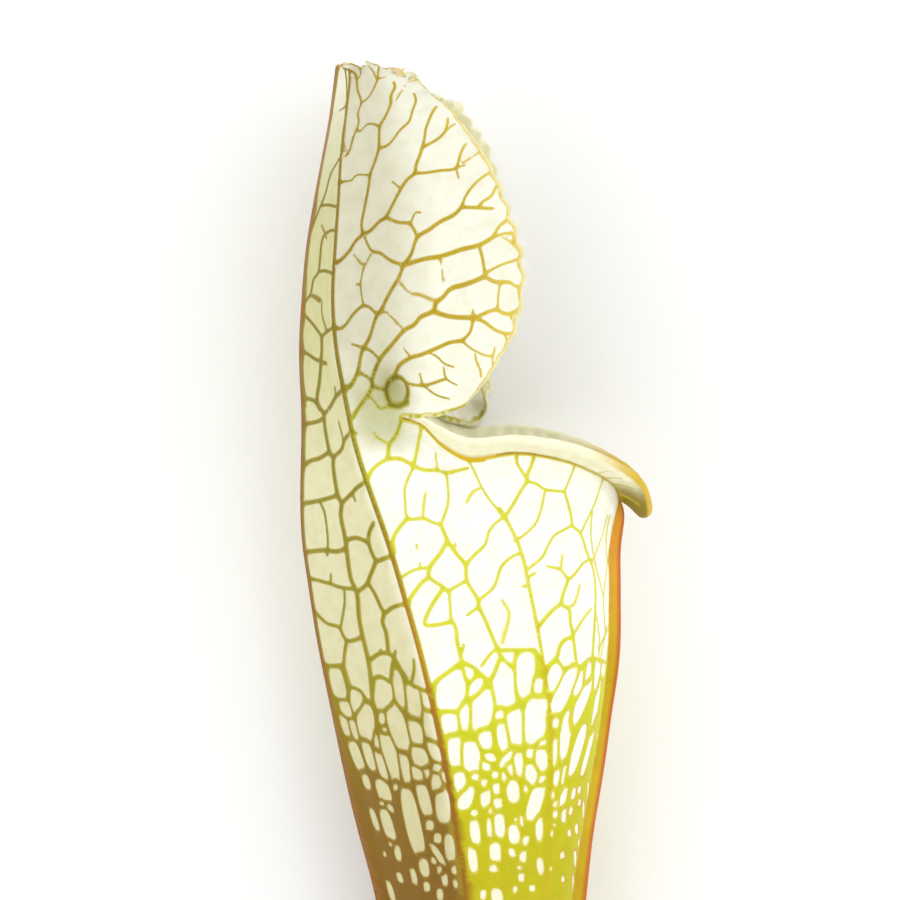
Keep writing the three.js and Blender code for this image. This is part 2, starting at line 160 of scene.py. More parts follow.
# The flat map. The crown and each row of the hood take these heights on it.
CROWN_HEIGHT = 20.0
ROW_HEIGHT = 6.9
MAP_NECK = TUBE_TOP + CROWN_HEIGHT
MAP_TOP = MAP_NECK + HOOD_ROWS * ROW_HEIGHT
COLUMN_STEP, TRUNK_STEP, CROWN_STEP = 0.2, 0.5, 1.0
ROW_SHARE = 0.05
ROW_STEP = ROW_SHARE * ROW_HEIGHT
TINY, NEAR_ENOUGH = 1e-9, 1e-7


def smoothstep(x, low, high):
    t = np.clip((x - low) / (high - low), 0, 1)
    return t * t * (3 - 2 * t)


def falling(x, low, high):
    return 1 - smoothstep(x, low, high)


def at_height(up, pairs):
    """A value that changes with the height."""
    heights, values = zip(*pairs)
    return np.interp(up, heights, values)


def between(x, knots, rows):
    """Rows of values at knots, for each x between them."""
    return np.stack([np.interp(x, knots, column) for column in rows.T], axis=1)


def unit(vectors):
    return vectors / np.linalg.norm(vectors, axis=-1, keepdims=True)


def bump(distance, rise, reach):
    """A rounded ridge of a given rise, that ends at its reach."""
    return rise * np.clip(1 - (distance / reach) ** 2, 0, None) ** 2


def through(knots, values, x):
    """A smooth curve through values at knots, for each x. Values are shared, or one set for each x."""
    last = len(knots) - 1
    before = np.maximum(np.arange(last + 1) - 1, 0)
    after = np.minimum(np.arange(last + 1) + 1, last)
    slopes = (values[..., after, :] - values[..., before, :]) / (knots[after] - knots[before])[:, None]
    k = np.clip(np.searchsorted(knots, x) - 1, 0, last - 1)
    low, high = (k, k + 1) if values.ndim == 2 else ((np.arange(len(x)), k), (np.arange(len(x)), k + 1))
    span = (knots[k + 1] - knots[k])[:, None]
    t = (x - knots[k])[:, None] / span
    ends = values[low] * (1 + 2 * t) * (1 - t) ** 2 + values[high] * t * t * (3 - 2 * t)
    return ends + span * (slopes[low] * t * (1 - t) ** 2 - slopes[high] * t * t * (1 - t))


def bowed(a, b, share, bow):
    """A point between two corners of a section, bowed outwards."""
    step = b - a
    lift = 4 * bow * share * (1 - share)
    aside = np.stack([-step[:, 1], step[:, 0]], axis=1)
    return a + step * share[:, None] + aside * lift[:, None]


def section_at(height):
    """The section's back, ridge, rib and front as forward and side, and its wing."""
    values = through(TUBE[:, 0], TUBE[:, 1:], height)
    flat = np.zeros(len(height))
    back = np.stack([values[:, 0], flat], axis=1)
    front = np.stack([values[:, 5], flat], axis=1)
    return back, values[:, 1:3], values[:, 3:5], front, values[:, 6]


def tube_at(column, height):
    back, ridge, rib, front, _ = section_at(height)
    panel = bowed(back, ridge, column / RIDGE, BOW_BACK)
    flank = bowed(ridge, rib, (column - RIDGE) / (RIB - RIDGE), BOW_FLANK)
    breast = bowed(rib, front, (column - RIB) / (FRONT - RIB), BOW_FRONT)
    at = np.where((column <= RIDGE)[:, None], panel, np.where((column <= RIB)[:, None], flank, breast))
    return np.stack([at[:, 0], height, at[:, 1]], axis=1)


def hood_at(side, column, row):
    rows = np.arange(HOOD_ROWS + 1.0)
    stations = through(rows, HOOD.reshape(len(HOOD), -1), row).reshape(len(row), len(HOOD_COLUMNS), 3)
    panel = through(HOOD_COLUMNS[:2], stations[:, :2], column)
    lobe = through(HOOD_COLUMNS[1:], stations[:, 1:], column)
    at = np.where((column <= RIDGE)[:, None], panel, lobe)
    if side < 0:
        hang = smoothstep(column, NECK, FRONT) * falling(row, 0, FAR_ROWS)
        at = at + hang[:, None] * np.array([FAR_FORWARD, -FAR_DROP, 0])
        low, full, fading, high = RUFFLE_ROWS
        ruffle = smoothstep(row, low, full) * falling(row, fading, high)
        ruffle = ruffle * smoothstep(column, RUFFLE_START, FRONT)
        at = at + ruffle[:, None] * np.array([RUFFLE_FORWARD, RUFFLE_UP, 0])
    return at


def crown_at(side, column, share):
    start = tube_at(column, np.full(len(column), TUBE_TOP))
    on_neck = (column <= NECK)[:, None]
    zero = np.zeros(len(column))
    end = np.where(on_neck, hood_at(side, column, zero), through(RIM[:, 0], RIM[:, 1:], column))
    reach = end - start
    size = np.linalg.norm(reach, axis=1)[:, None]
    leave = unit(start - tube_at(column, np.full(len(column), TUBE_TOP - 1)))
    back = np.minimum(column, NECK)
    onward = unit(hood_at(side, back, zero + ROW_SHARE) - hood_at(side, back, zero))
    arrive = onward + (reach / size - onward) * smoothstep(column, NECK, NECK + 2)[:, None]
    t, s = share[:, None], 1 - share[:, None]
    ends = start * (1 + 2 * t) * s * s + end * t * t * (3 - 2 * t)
    return ends + size * (leave * t * s * s - arrive * t * t * s)


def hood_row(up):
    return (up - MAP_NECK) / ROW_HEIGHT


def sheet_at(side, on_hood, column, up):
    """Points of the bare sheet, of its hood or of its tube and crown, at columns and map heights."""
    if on_hood:
        return hood_at(side, column, hood_row(up))
    at = tube_at(column, np.minimum(up, TUBE_TOP))
    high = up > TUBE_TOP
    if high.any():
        at[high] = crown_at(side, column[high], (up[high] - TUBE_TOP) / CROWN_HEIGHT)
    return at


def directions(side, on_hood, column, up):
    """The sheet's directions: to the front, upwards and outwards."""
    left = sheet_at(side, on_hood, np.maximum(column - COLUMN_STEP, MIDRIB), up)
    right = sheet_at(side, on_hood, np.minimum(column + COLUMN_STEP, FRONT), up)
    across = unit(right - left)
    step = np.where(up > TUBE_TOP, CROWN_STEP, TRUNK_STEP)
    if on_hood:
        above = sheet_at(side, True, column, np.minimum(up + ROW_STEP, MAP_TOP))
        below = sheet_at(side, True, column, np.maximum(up - ROW_STEP, MAP_NECK))
        foot = (up <= MAP_NECK) & (column <= NECK)
        if foot.any():
            below[foot] = sheet_at(side, False, column[foot], np.full(foot.sum(), MAP_NECK - CROWN_STEP))
    else:
        above = sheet_at(side, False, column, np.minimum(up + step, MAP_NECK))
        below = sheet_at(side, False, column, np.maximum(up - step, 0))
    upward = unit(above - below)
    out = np.cross(across, upward)
    middle = column <= MIDRIB
    if not on_hood:
        middle = middle | (column >= FRONT)
    out[middle, 2] = 0
    return across, upward, unit(out)


def dimple_share(column, up):
    """How deep a place lies in the hollow at the neck, from 0 to 1."""
    across = (column - DIMPLE["column"]) / DIMPLE["columns"]
    return np.exp(-across ** 2 - ((hood_row(up) - DIMPLE["row"]) / DIMPLE["rows"]) ** 2)


def waves(side, on_hood, column, up):
    """How far the sheet stands out at each point: the hood's waves and the hollow at its neck."""
    row = hood_row(up)
    hollow = -DIMPLE["depth"] * dimple_share(column, up)
    if not on_hood:
        return hollow * falling(column, NECK, NECK + 1)
    edge = np.maximum(np.maximum((column - NECK) / (FRONT - NECK), (row - HOOD_ROWS) / WAVY_ROWS + 1), 0)
    calm = smoothstep(row + column / HOOD_ROWS, *CALM_ROWS) * smoothstep(column, MIDRIB, RIDGE)
    turn = np.arctan2(row / HOOD_ROWS - WAVE_EYE[1], column / FRONT - WAVE_EYE[0])
    frill = FRILL_SIZE[side] * smoothstep(edge, *FRILL_EDGE) * calm
    frill = frill * np.sin(FRILL_COUNT * turn + FRILL_SWAY * np.sin(FRILL_SWAYS * turn + WAVE_PHASE[side]))
    wave = WAVE_SIZE[side] * edge * edge * calm * np.sin(WAVE_COUNT * turn + WAVE_PHASE[side])
    return wave + frill + hollow


def wall_at(on_hood, up):
    if on_hood:
        return np.full(len(up), WALL_HOOD)
    tube = WALL_FLOOR + (WALL_TUBE - WALL_FLOOR) * smoothstep(up, HOLLOW_FLOOR, 2 * HOLLOW_FLOOR)
    crown = WALL_TUBE + (WALL_HOOD - WALL_TUBE) * (up - TUBE_TOP) / CROWN_HEIGHT
    return np.where(up > TUBE_TOP, crown, tube)


def squeezed(column, up):
    """Columns of the tube's outside, drawn in beside the front so that the wing has a foot."""
    _, _, rib, front, _ = section_at(np.minimum(up, TUBE_TOP))
    fade = wing_fade(up)
    share = 1 - fade * WING_BASE / (rib[:, 1] + 4 * BOW_FRONT * (front[:, 0] - rib[:, 0]))
    return np.where(column > RIB, RIB + (column - RIB) * share, column)


def wing_fade(up):
    return 1 - np.clip((up - TUBE_TOP) / CROWN_HEIGHT, 0, 1) ** 4


def skin(side, on_hood, column, up, inside=False, lift=0.0):
    """Points of one half's outside or inside, before it is mirrored. Lift stands off the sheet."""
    column, up = np.asarray(column, float), np.asarray(up, float)
    lift = np.broadcast_to(lift, column.shape)
    hooded = (up >= MAP_NECK - 1e-6) & (column <= NECK) | on_hood
    at = np.empty((len(column), 3))
    for part, of_hood in ((hooded, True), (~hooded, False)):
        if part.any():
            at[part] = part_skin(side, of_hood, column[part], up[part], inside, lift[part])
    return at


def part_skin(side, on_hood, column, up, inside, lift):
    if not inside and not on_hood:
        column = squeezed(column, up)
    _, _, out = directions(side, on_hood, column, up)
    at = sheet_at(side, on_hood, column, up)
    stand = waves(side, on_hood, column, up) + lift
    if inside:
        return kept_aside(at, at + out * (stand - wall_at(on_hood, up))[:, None])
    keel = bump(column - MIDRIB, KEEL_RISE, KEEL_REACH) * at_height(up, KEEL_FADE)
    stand = stand + (keel + bump(column - RIDGE, RIDGE_RISE, RIDGE_REACH))
    if not on_hood:
        low, full, fading = PLEAT_ENDS
        pleats = sum(bump(column - c, PLEAT_RISE, PLEAT_REACH) for c in PLEATS)
        pleats = pleats * smoothstep(up, MAP_NECK - low, MAP_NECK - full)
        pleats = pleats * falling(up, MAP_NECK - fading, MAP_NECK)
        stand = stand + pleats + bump(column - RIB, RIB_RISE, RIB_REACH)
    return at + out * stand[:, None]


def kept_aside(sheet, inner):
    """Keeps the hollow's points off the middle plane."""
    inner[:, 2] = np.maximum(inner[:, 2], HOLLOW_SHARE * sheet[:, 2])
    return inner


def turned(axis, angle):
    return np.array(Matrix.Rotation(angle, 3, axis))


LAY = turned("Y", REST_ROLL) @ turned("X", REST_PITCH)


def laid(points, side=1):
    """Leaf coordinates of one half as places in the frame, in metres, pressed flat where they rest."""
    points = np.asarray(points, float) * np.array([1, 1, side])
    placed = points @ LAY.T + REST_SHIFT
    placed[:, 2] = np.maximum(placed[:, 2], 0)
    return placed * 0.001


# The camera looks down on the leaf as the photograph's did. One pixel is 0.16 mm at its middle plane.
PHOTO_SIZE = 900
PHOTO_MIDDLE = np.array([-1.6, 302.0, 0.0])
LENS, SENSOR = 200.0, 36.0
CAMERA_DISTANCE = 0.8
CAMERA_TILT = math.radians(-2.5)
LOOK = LAY @ np.array([0, math.sin(CAMERA_TILT), -math.cos(CAMERA_TILT)])
CAMERA_UP = LAY @ np.array([0, math.cos(CAMERA_TILT), math.sin(CAMERA_TILT)])
CAMERA_RIGHT = np.cross(LOOK, CAMERA_UP)
CAMERA_PLACE = (LAY @ PHOTO_MIDDLE + REST_SHIFT) * 0.001 - LOOK * CAMERA_DISTANCE


def photo_pixels(places):
    """Where the camera sees places of the frame, in the photograph's pixels."""
    seen = places - CAMERA_PLACE
    scale = PHOTO_SIZE * LENS / SENSOR / (seen @ LOOK)
    middle = PHOTO_SIZE / 2
    return np.stack([middle + seen @ CAMERA_RIGHT * scale, middle - seen @ CAMERA_UP * scale], axis=1)


# The flat map of one half: arcs across from the midrib, at each height up from the cut
MAP_COLUMNS = np.linspace(MIDRIB, FRONT, 89)
MAP_STEP, MAP_HOOD_ROWS = 2.5, 45


def map_table(on_hood, ups):
    column, up = np.meshgrid(MAP_COLUMNS, ups)
    at = sheet_at(1, on_hood, column.ravel(), up.ravel()).reshape(len(ups), len(MAP_COLUMNS), 3)
    steps = np.linalg.norm(np.diff(at, axis=1), axis=2)
    return ups, np.concatenate([np.zeros((len(ups), 1)), np.cumsum(steps, axis=1)], axis=1)


MAPS = {
    False: map_table(False, np.append(np.arange(0, MAP_NECK, MAP_STEP), MAP_NECK)),
    True: map_table(True, np.linspace(MAP_NECK, MAP_TOP, MAP_HOOD_ROWS)),
}


def map_rows(on_hood, up):
    ups, arcs = MAPS[on_hood]
    k = np.clip(np.searchsorted(ups, up) - 1, 0, len(ups) - 2)
    t = np.clip((up - ups[k]) / (ups[k + 1] - ups[k]), 0, 1)[:, None]
    return arcs[k] * (1 - t) + arcs[k + 1] * t


def to_map(on_hood, column, up):
    """How far across the map columns lie."""
    column, up = np.asarray(column, float), np.asarray(up, float)
    rows = map_rows(on_hood, up)
    step = MAP_COLUMNS[1]
    k = np.clip((column / step).astype(int), 0, len(MAP_COLUMNS) - 2)
    t = column / step - k
    every = np.arange(len(column))
    return rows[every, k] * (1 - t) + rows[every, k + 1] * t


def map_places(on_hood, column, up):
    """Places of the map at columns and heights, of which either may be one for all."""
    column, up = np.broadcast_arrays(np.asarray(column, float), np.asarray(up, float))
    return np.stack([to_map(on_hood, column, up), up], axis=1)


def from_map(on_hood, across, up):
    """The columns at places of the map."""
    rows = map_rows(on_hood, up)
    k = np.clip((rows <= across[:, None]).sum(axis=1) - 1, 0, len(MAP_COLUMNS) - 2)
    every = np.arange(len(across))
    t = (across - rows[every, k]) / np.maximum(rows[every, k + 1] - rows[every, k], TINY)
    return np.clip(MAP_COLUMNS[k] + t * MAP_COLUMNS[1], MIDRIB, FRONT)


# The net is traced on the photograph, in its pixels: veins by half their width in millimetres
TRACED_VEINS = {
    0.34: [
        # The hood's main veins
        [(394, 82), (395, 88), (391, 97), (391, 104), (386, 117), (380, 127), (379, 148), (374, 165),
         (371, 173), (368, 191), (364, 213), (362, 225), (363, 234), (356, 241), (350, 250),
         (341, 260), (334, 268)],
        [(363, 235), (370, 231), (380, 222), (386, 218), (390, 209), (401, 190), (408, 180), (415, 174),
         (416, 166), (420, 155), (422, 149)],
        [(404, 264), (412, 254), (414, 246), (418, 236), (430, 231), (440, 223), (455, 216), (462, 206)],
        [(404, 264), (399, 277), (390, 293), (381, 311), (376, 318), (370, 337), (362, 352), (358, 371),
         (352, 384), (346, 390)],
        [(405, 263), (425, 259), (441, 256), (463, 249), (478, 247), (486, 243), (493, 236)],
        [(436, 302), (443, 297), (450, 289), (463, 286), (474, 280), (486, 275)],
        [(436, 302), (434, 311), (420, 318), (415, 325), (405, 330), (392, 345), (380, 359), (373, 377),
         (372, 388), (368, 395), (358, 410), (353, 418)],
        [(436, 313), (450, 316), (474, 318)],
        [(462, 341), (450, 342), (440, 346), (420, 354), (412, 356), (400, 364), (397, 370), (393, 379)],
        # The back panel's own main vein
        [(322, 337), (322, 350), (320, 380), (318, 399), (324, 415), (325, 425), (330, 453), (334, 457),
         (333, 466), (338, 495), (342, 504), (341, 515), (346, 541), (351, 578), (357, 593), (360, 620),
         (369, 665), (373, 700), (379, 740), (391, 800), (402, 850), (411, 898)],
        # Below the neck
        [(403, 417), (400, 425), (396, 435), (390, 444), (388, 458)],
        [(422, 420), (427, 430), (436, 440), (443, 445), (452, 450), (459, 455), (467, 459)],
    ],
    0.5: [
        # The ring round the hollow at the neck
        [(386, 390), (389, 382), (396, 378), (403, 380), (408, 388), (407, 398), (402, 404), (393, 404),
         (388, 399), (386, 390)],
        [(391, 404), (398, 406), (408, 403)],
    ],
    0.27: [
        [(343, 66), (352, 71), (357, 79), (358, 90), (362, 104), (358, 113), (359, 122), (354, 138),
         (350, 150), (345, 157)],
        [(362, 104), (368, 98), (374, 90), (379, 78)],
        [(379, 149), (389, 144), (401, 130), (409, 123), (412, 112), (416, 101), (414, 93)],
        [(422, 149), (425, 138), (426, 129), (429, 120), (437, 106)],
        [(422, 149), (438, 138), (446, 130), (448, 118)],
        [(416, 174), (426, 174), (442, 170), (456, 168), (461, 153), (466, 144)],
        [(386, 219), (399, 223), (410, 223), (418, 236)],
        [(462, 206), (464, 199), (473, 186), (486, 175), (492, 172)],
        [(462, 207), (474, 207), (494, 210)],
        [(478, 206), (484, 200), (491, 196), (497, 186)],
        [(493, 236), (500, 226), (506, 221), (509, 214)],
        [(480, 248), (483, 260), (486, 275), (495, 281), (501, 284), (510, 283)],
        [(474, 318), (496, 311), (504, 312), (511, 315), (518, 310)],
        [(474, 318), (485, 323), (495, 330), (505, 334), (513, 333)],
        [(474, 318), (470, 332), (462, 341)],
        [(365, 238), (372, 252), (380, 254), (387, 256), (393, 261), (401, 264)],
        [(336, 329), (341, 328), (347, 323), (353, 315), (364, 304), (370, 308), (376, 313), (384, 312)],
        [(335, 326), (328, 330), (322, 337)],
        [(362, 348), (372, 352), (380, 359)],
        [(358, 372), (364, 375), (371, 381)],
        [(374, 386), (380, 388), (387, 391)],
        [(446, 378), (432, 384), (424, 385), (406, 384)],
        # The back panel
        [(340, 158), (336, 165), (331, 176), (325, 195), (321, 207), (314, 222)],
        [(321, 207), (328, 204), (337, 208)],
        [(336, 231), (330, 232), (323, 240), (319, 270), (314, 280), (311, 296), (304, 303)],
        [(319, 270), (326, 272), (333, 275)],
        [(311, 296), (320, 302)],
        [(303, 314), (310, 320), (316, 327), (322, 337)],
        [(302, 350), (309, 353), (315, 357), (327, 363)],
        [(324, 415), (330, 407), (337, 395), (344, 388)],
        [(302, 399), (315, 402), (320, 408)],
        [(302, 424), (318, 422), (324, 418)],
        [(303, 468), (311, 462), (320, 457), (329, 452)],
        [(334, 457), (343, 448), (344, 440), (350, 432)],
        [(304, 504), (320, 502), (338, 497)],
        [(342, 504), (352, 494), (358, 487), (366, 481)],
        [(307, 551), (325, 550), (337, 551), (346, 549)],
        [(346, 541), (353, 537), (360, 539), (369, 543)],
        [(374, 523), (370, 531), (369, 543), (376, 560), (384, 559), (392, 555)],
        [(376, 560), (370, 578), (367, 585), (357, 593)],
        [(369, 583), (375, 594), (385, 612), (392, 608), (405, 604), (409, 603)],
        [(385, 612), (383, 622), (386, 632), (389, 654)],
        [(310, 579), (330, 583), (338, 586), (345, 589), (354, 588)],
        [(316, 612), (327, 622), (340, 628), (344, 636), (348, 640), (356, 640), (362, 637)],
        [(347, 640), (344, 665), (348, 688)],
        [(370, 660), (381, 654), (389, 654), (394, 657), (404, 678), (410, 684), (418, 688), (430, 692)],
        # The flank
        [(388, 458), (380, 464), (372, 471), (367, 482)],
        [(388, 458), (400, 458), (408, 462), (414, 466)],
        [(422, 420), (421, 432), (418, 443), (414, 466)],
        [(467, 459), (475, 456), (482, 452)],
        [(414, 466), (424, 470), (438, 471), (445, 473), (455, 471), (468, 468)],
        [(408, 518), (402, 524), (396, 532), (393, 541), (395, 552)],
        [(441, 524), (448, 542), (458, 557), (465, 565), (467, 581), (478, 600), (479, 607), (485, 620),
         (501, 656)],
        [(448, 542), (441, 551), (430, 568), (429, 576), (444, 588), (449, 593)],
        [(429, 576), (421, 584), (410, 598)],
        [(444, 588), (432, 606), (425, 625), (437, 624), (451, 622)],
        [(451, 620), (456, 627), (457, 640), (462, 661)],
        [(434, 684), (440, 678), (454, 668), (462, 662), (476, 669), (488, 681), (492, 678), (501, 656)],
        [(500, 650), (515, 650), (535, 649)],
        [(503, 659), (513, 668), (517, 651)],
        [(516, 449), (517, 463), (522, 472), (527, 481), (520, 492), (516, 499), (504, 518)],
        [(535, 453), (532, 463), (527, 481), (536, 484), (545, 490), (564, 492)],
        [(564, 492), (571, 517), (572, 526), (580, 533), (588, 556), (593, 570), (595, 590), (595, 608),
         (592, 660)],
        [(561, 603), (552, 611), (537, 627)],
        [(568, 579), (561, 603), (569, 609), (570, 620), (573, 636), (576, 661), (578, 669), (590, 658)],
        [(573, 637), (566, 638), (560, 645), (556, 658), (546, 668)],
    ],
    0.2: [
        [(345, 68), (347, 92), (346, 105), (340, 111)],
        [(377, 79), (372, 70), (369, 66)],
        [(379, 67), (379, 79), (386, 77)],
        [(360, 66), (361, 74), (358, 80)],
        [(357, 130), (361, 131), (366, 125), (373, 123), (380, 127)],
        [(339, 184), (345, 182), (352, 180), (356, 176), (370, 174)],
        [(446, 131), (454, 125)],
        [(463, 165), (457, 168), (459, 179)],
        [(393, 183), (401, 190)],
        [(411, 222), (416, 212), (420, 212)],
        [(441, 257), (441, 264)],
        [(493, 236), (504, 235), (514, 232)],
        [(487, 272), (500, 266), (520, 258)],
        [(510, 284), (516, 288), (520, 286)],
        [(500, 284), (498, 297), (498, 311)],
        [(474, 318), (473, 309)],
        [(505, 335), (508, 342)],
        [(511, 315), (512, 321)],
        [(412, 356), (408, 352)],
        [(462, 341), (475, 352), (492, 355), (495, 346)],
        [(492, 355), (493, 362)],
        [(475, 353), (477, 363), (480, 369), (481, 378)],
        [(431, 352), (438, 358), (444, 365), (454, 366)],
        [(444, 366), (446, 378), (457, 385)],
        [(420, 372), (423, 384)],
        [(424, 385), (436, 395), (443, 398), (449, 398)],
        [(364, 267), (361, 285), (364, 304)],
        [(361, 285), (355, 285)],
        [(353, 344), (362, 348)],
        [(368, 396), (374, 402), (380, 408), (390, 404)],
        [(388, 444), (376, 437), (374, 433)],
        [(353, 432), (358, 434)],
        # The back panel
        [(321, 503), (325, 512), (328, 540), (328, 556)],
        [(331, 583), (331, 573)],
        [(353, 494), (356, 501)],
        [(337, 395), (335, 388)],
        [(345, 590), (345, 603), (341, 627)],
        [(330, 665), (343, 665)],
        [(348, 687), (361, 690), (366, 699), (372, 703)],
        [(374, 679), (380, 676), (391, 682)],
        [(414, 659), (414, 670), (412, 682)],
        [(381, 649), (381, 654)],
        [(396, 650), (394, 657)],
        # The flank and the front
        [(414, 466), (405, 488), (405, 500), (408, 518), (425, 518), (431, 521), (441, 524)],
        [(446, 474), (448, 503), (441, 524)],
        [(437, 471), (437, 464)],
        [(436, 459), (436, 452)],
        [(455, 548), (456, 543)],
        [(519, 553), (509, 559), (501, 568), (494, 586), (480, 600)],
        [(503, 518), (495, 524), (489, 532), (485, 545), (470, 560), (466, 566)],
        [(468, 460), (474, 470), (480, 484), (488, 498), (497, 509), (504, 519)],
        [(564, 492), (568, 482), (575, 465)],
        [(545, 490), (537, 520), (527, 532), (514, 541)],
        [(572, 526), (562, 531), (553, 537), (542, 557), (528, 569)],
        [(580, 533), (591, 511), (596, 499), (603, 478)],
        [(547, 566), (560, 569), (569, 579), (584, 561), (591, 560)],
        [(536, 572), (529, 576)],
        [(522, 587), (529, 585)],
        [(402, 576), (413, 571), (429, 568)],
        [(420, 562), (421, 567)],
        [(449, 593), (451, 620)],
        [(467, 581), (449, 591)],
        [(479, 607), (467, 616)],
        [(464, 645), (462, 652)],
        [(481, 666), (492, 652), (499, 647)],
        [(556, 658), (564, 670), (576, 662)],
        [(417, 544), (417, 549)],
    ],
}
FAINT_VEIN = 0.16
FAINT_VEINS = [
    [(346, 105), (346, 120), (345, 150)],
    [(315, 296), (322, 301), (322, 312), (327, 330)],
    [(399, 283), (410, 291), (420, 294), (436, 302)],
    [(386, 313), (393, 318), (404, 330)],
    [(354, 256), (364, 267), (371, 254)],
    [(442, 269), (443, 279)],
    [(322, 226), (327, 238)],
    [(463, 163), (472, 157), (480, 152)],
    [(396, 101), (403, 90)],
    [(339, 421), (344, 440)],
    [(480, 488), (473, 492), (466, 503)],
    [(423, 518), (424, 505), (426, 493)],
    [(503, 601), (509, 612), (508, 622), (502, 645)],
    [(561, 568), (562, 553)],
    [(592, 561), (603, 532), (607, 515)],
    [(569, 608), (574, 603), (580, 585)],
    [(573, 636), (583, 620), (591, 609)],
    [(595, 609), (599, 640), (598, 660)],
    [(606, 625), (603, 645), (600, 662)],
    [(504, 236), (512, 243), (520, 252)],
]

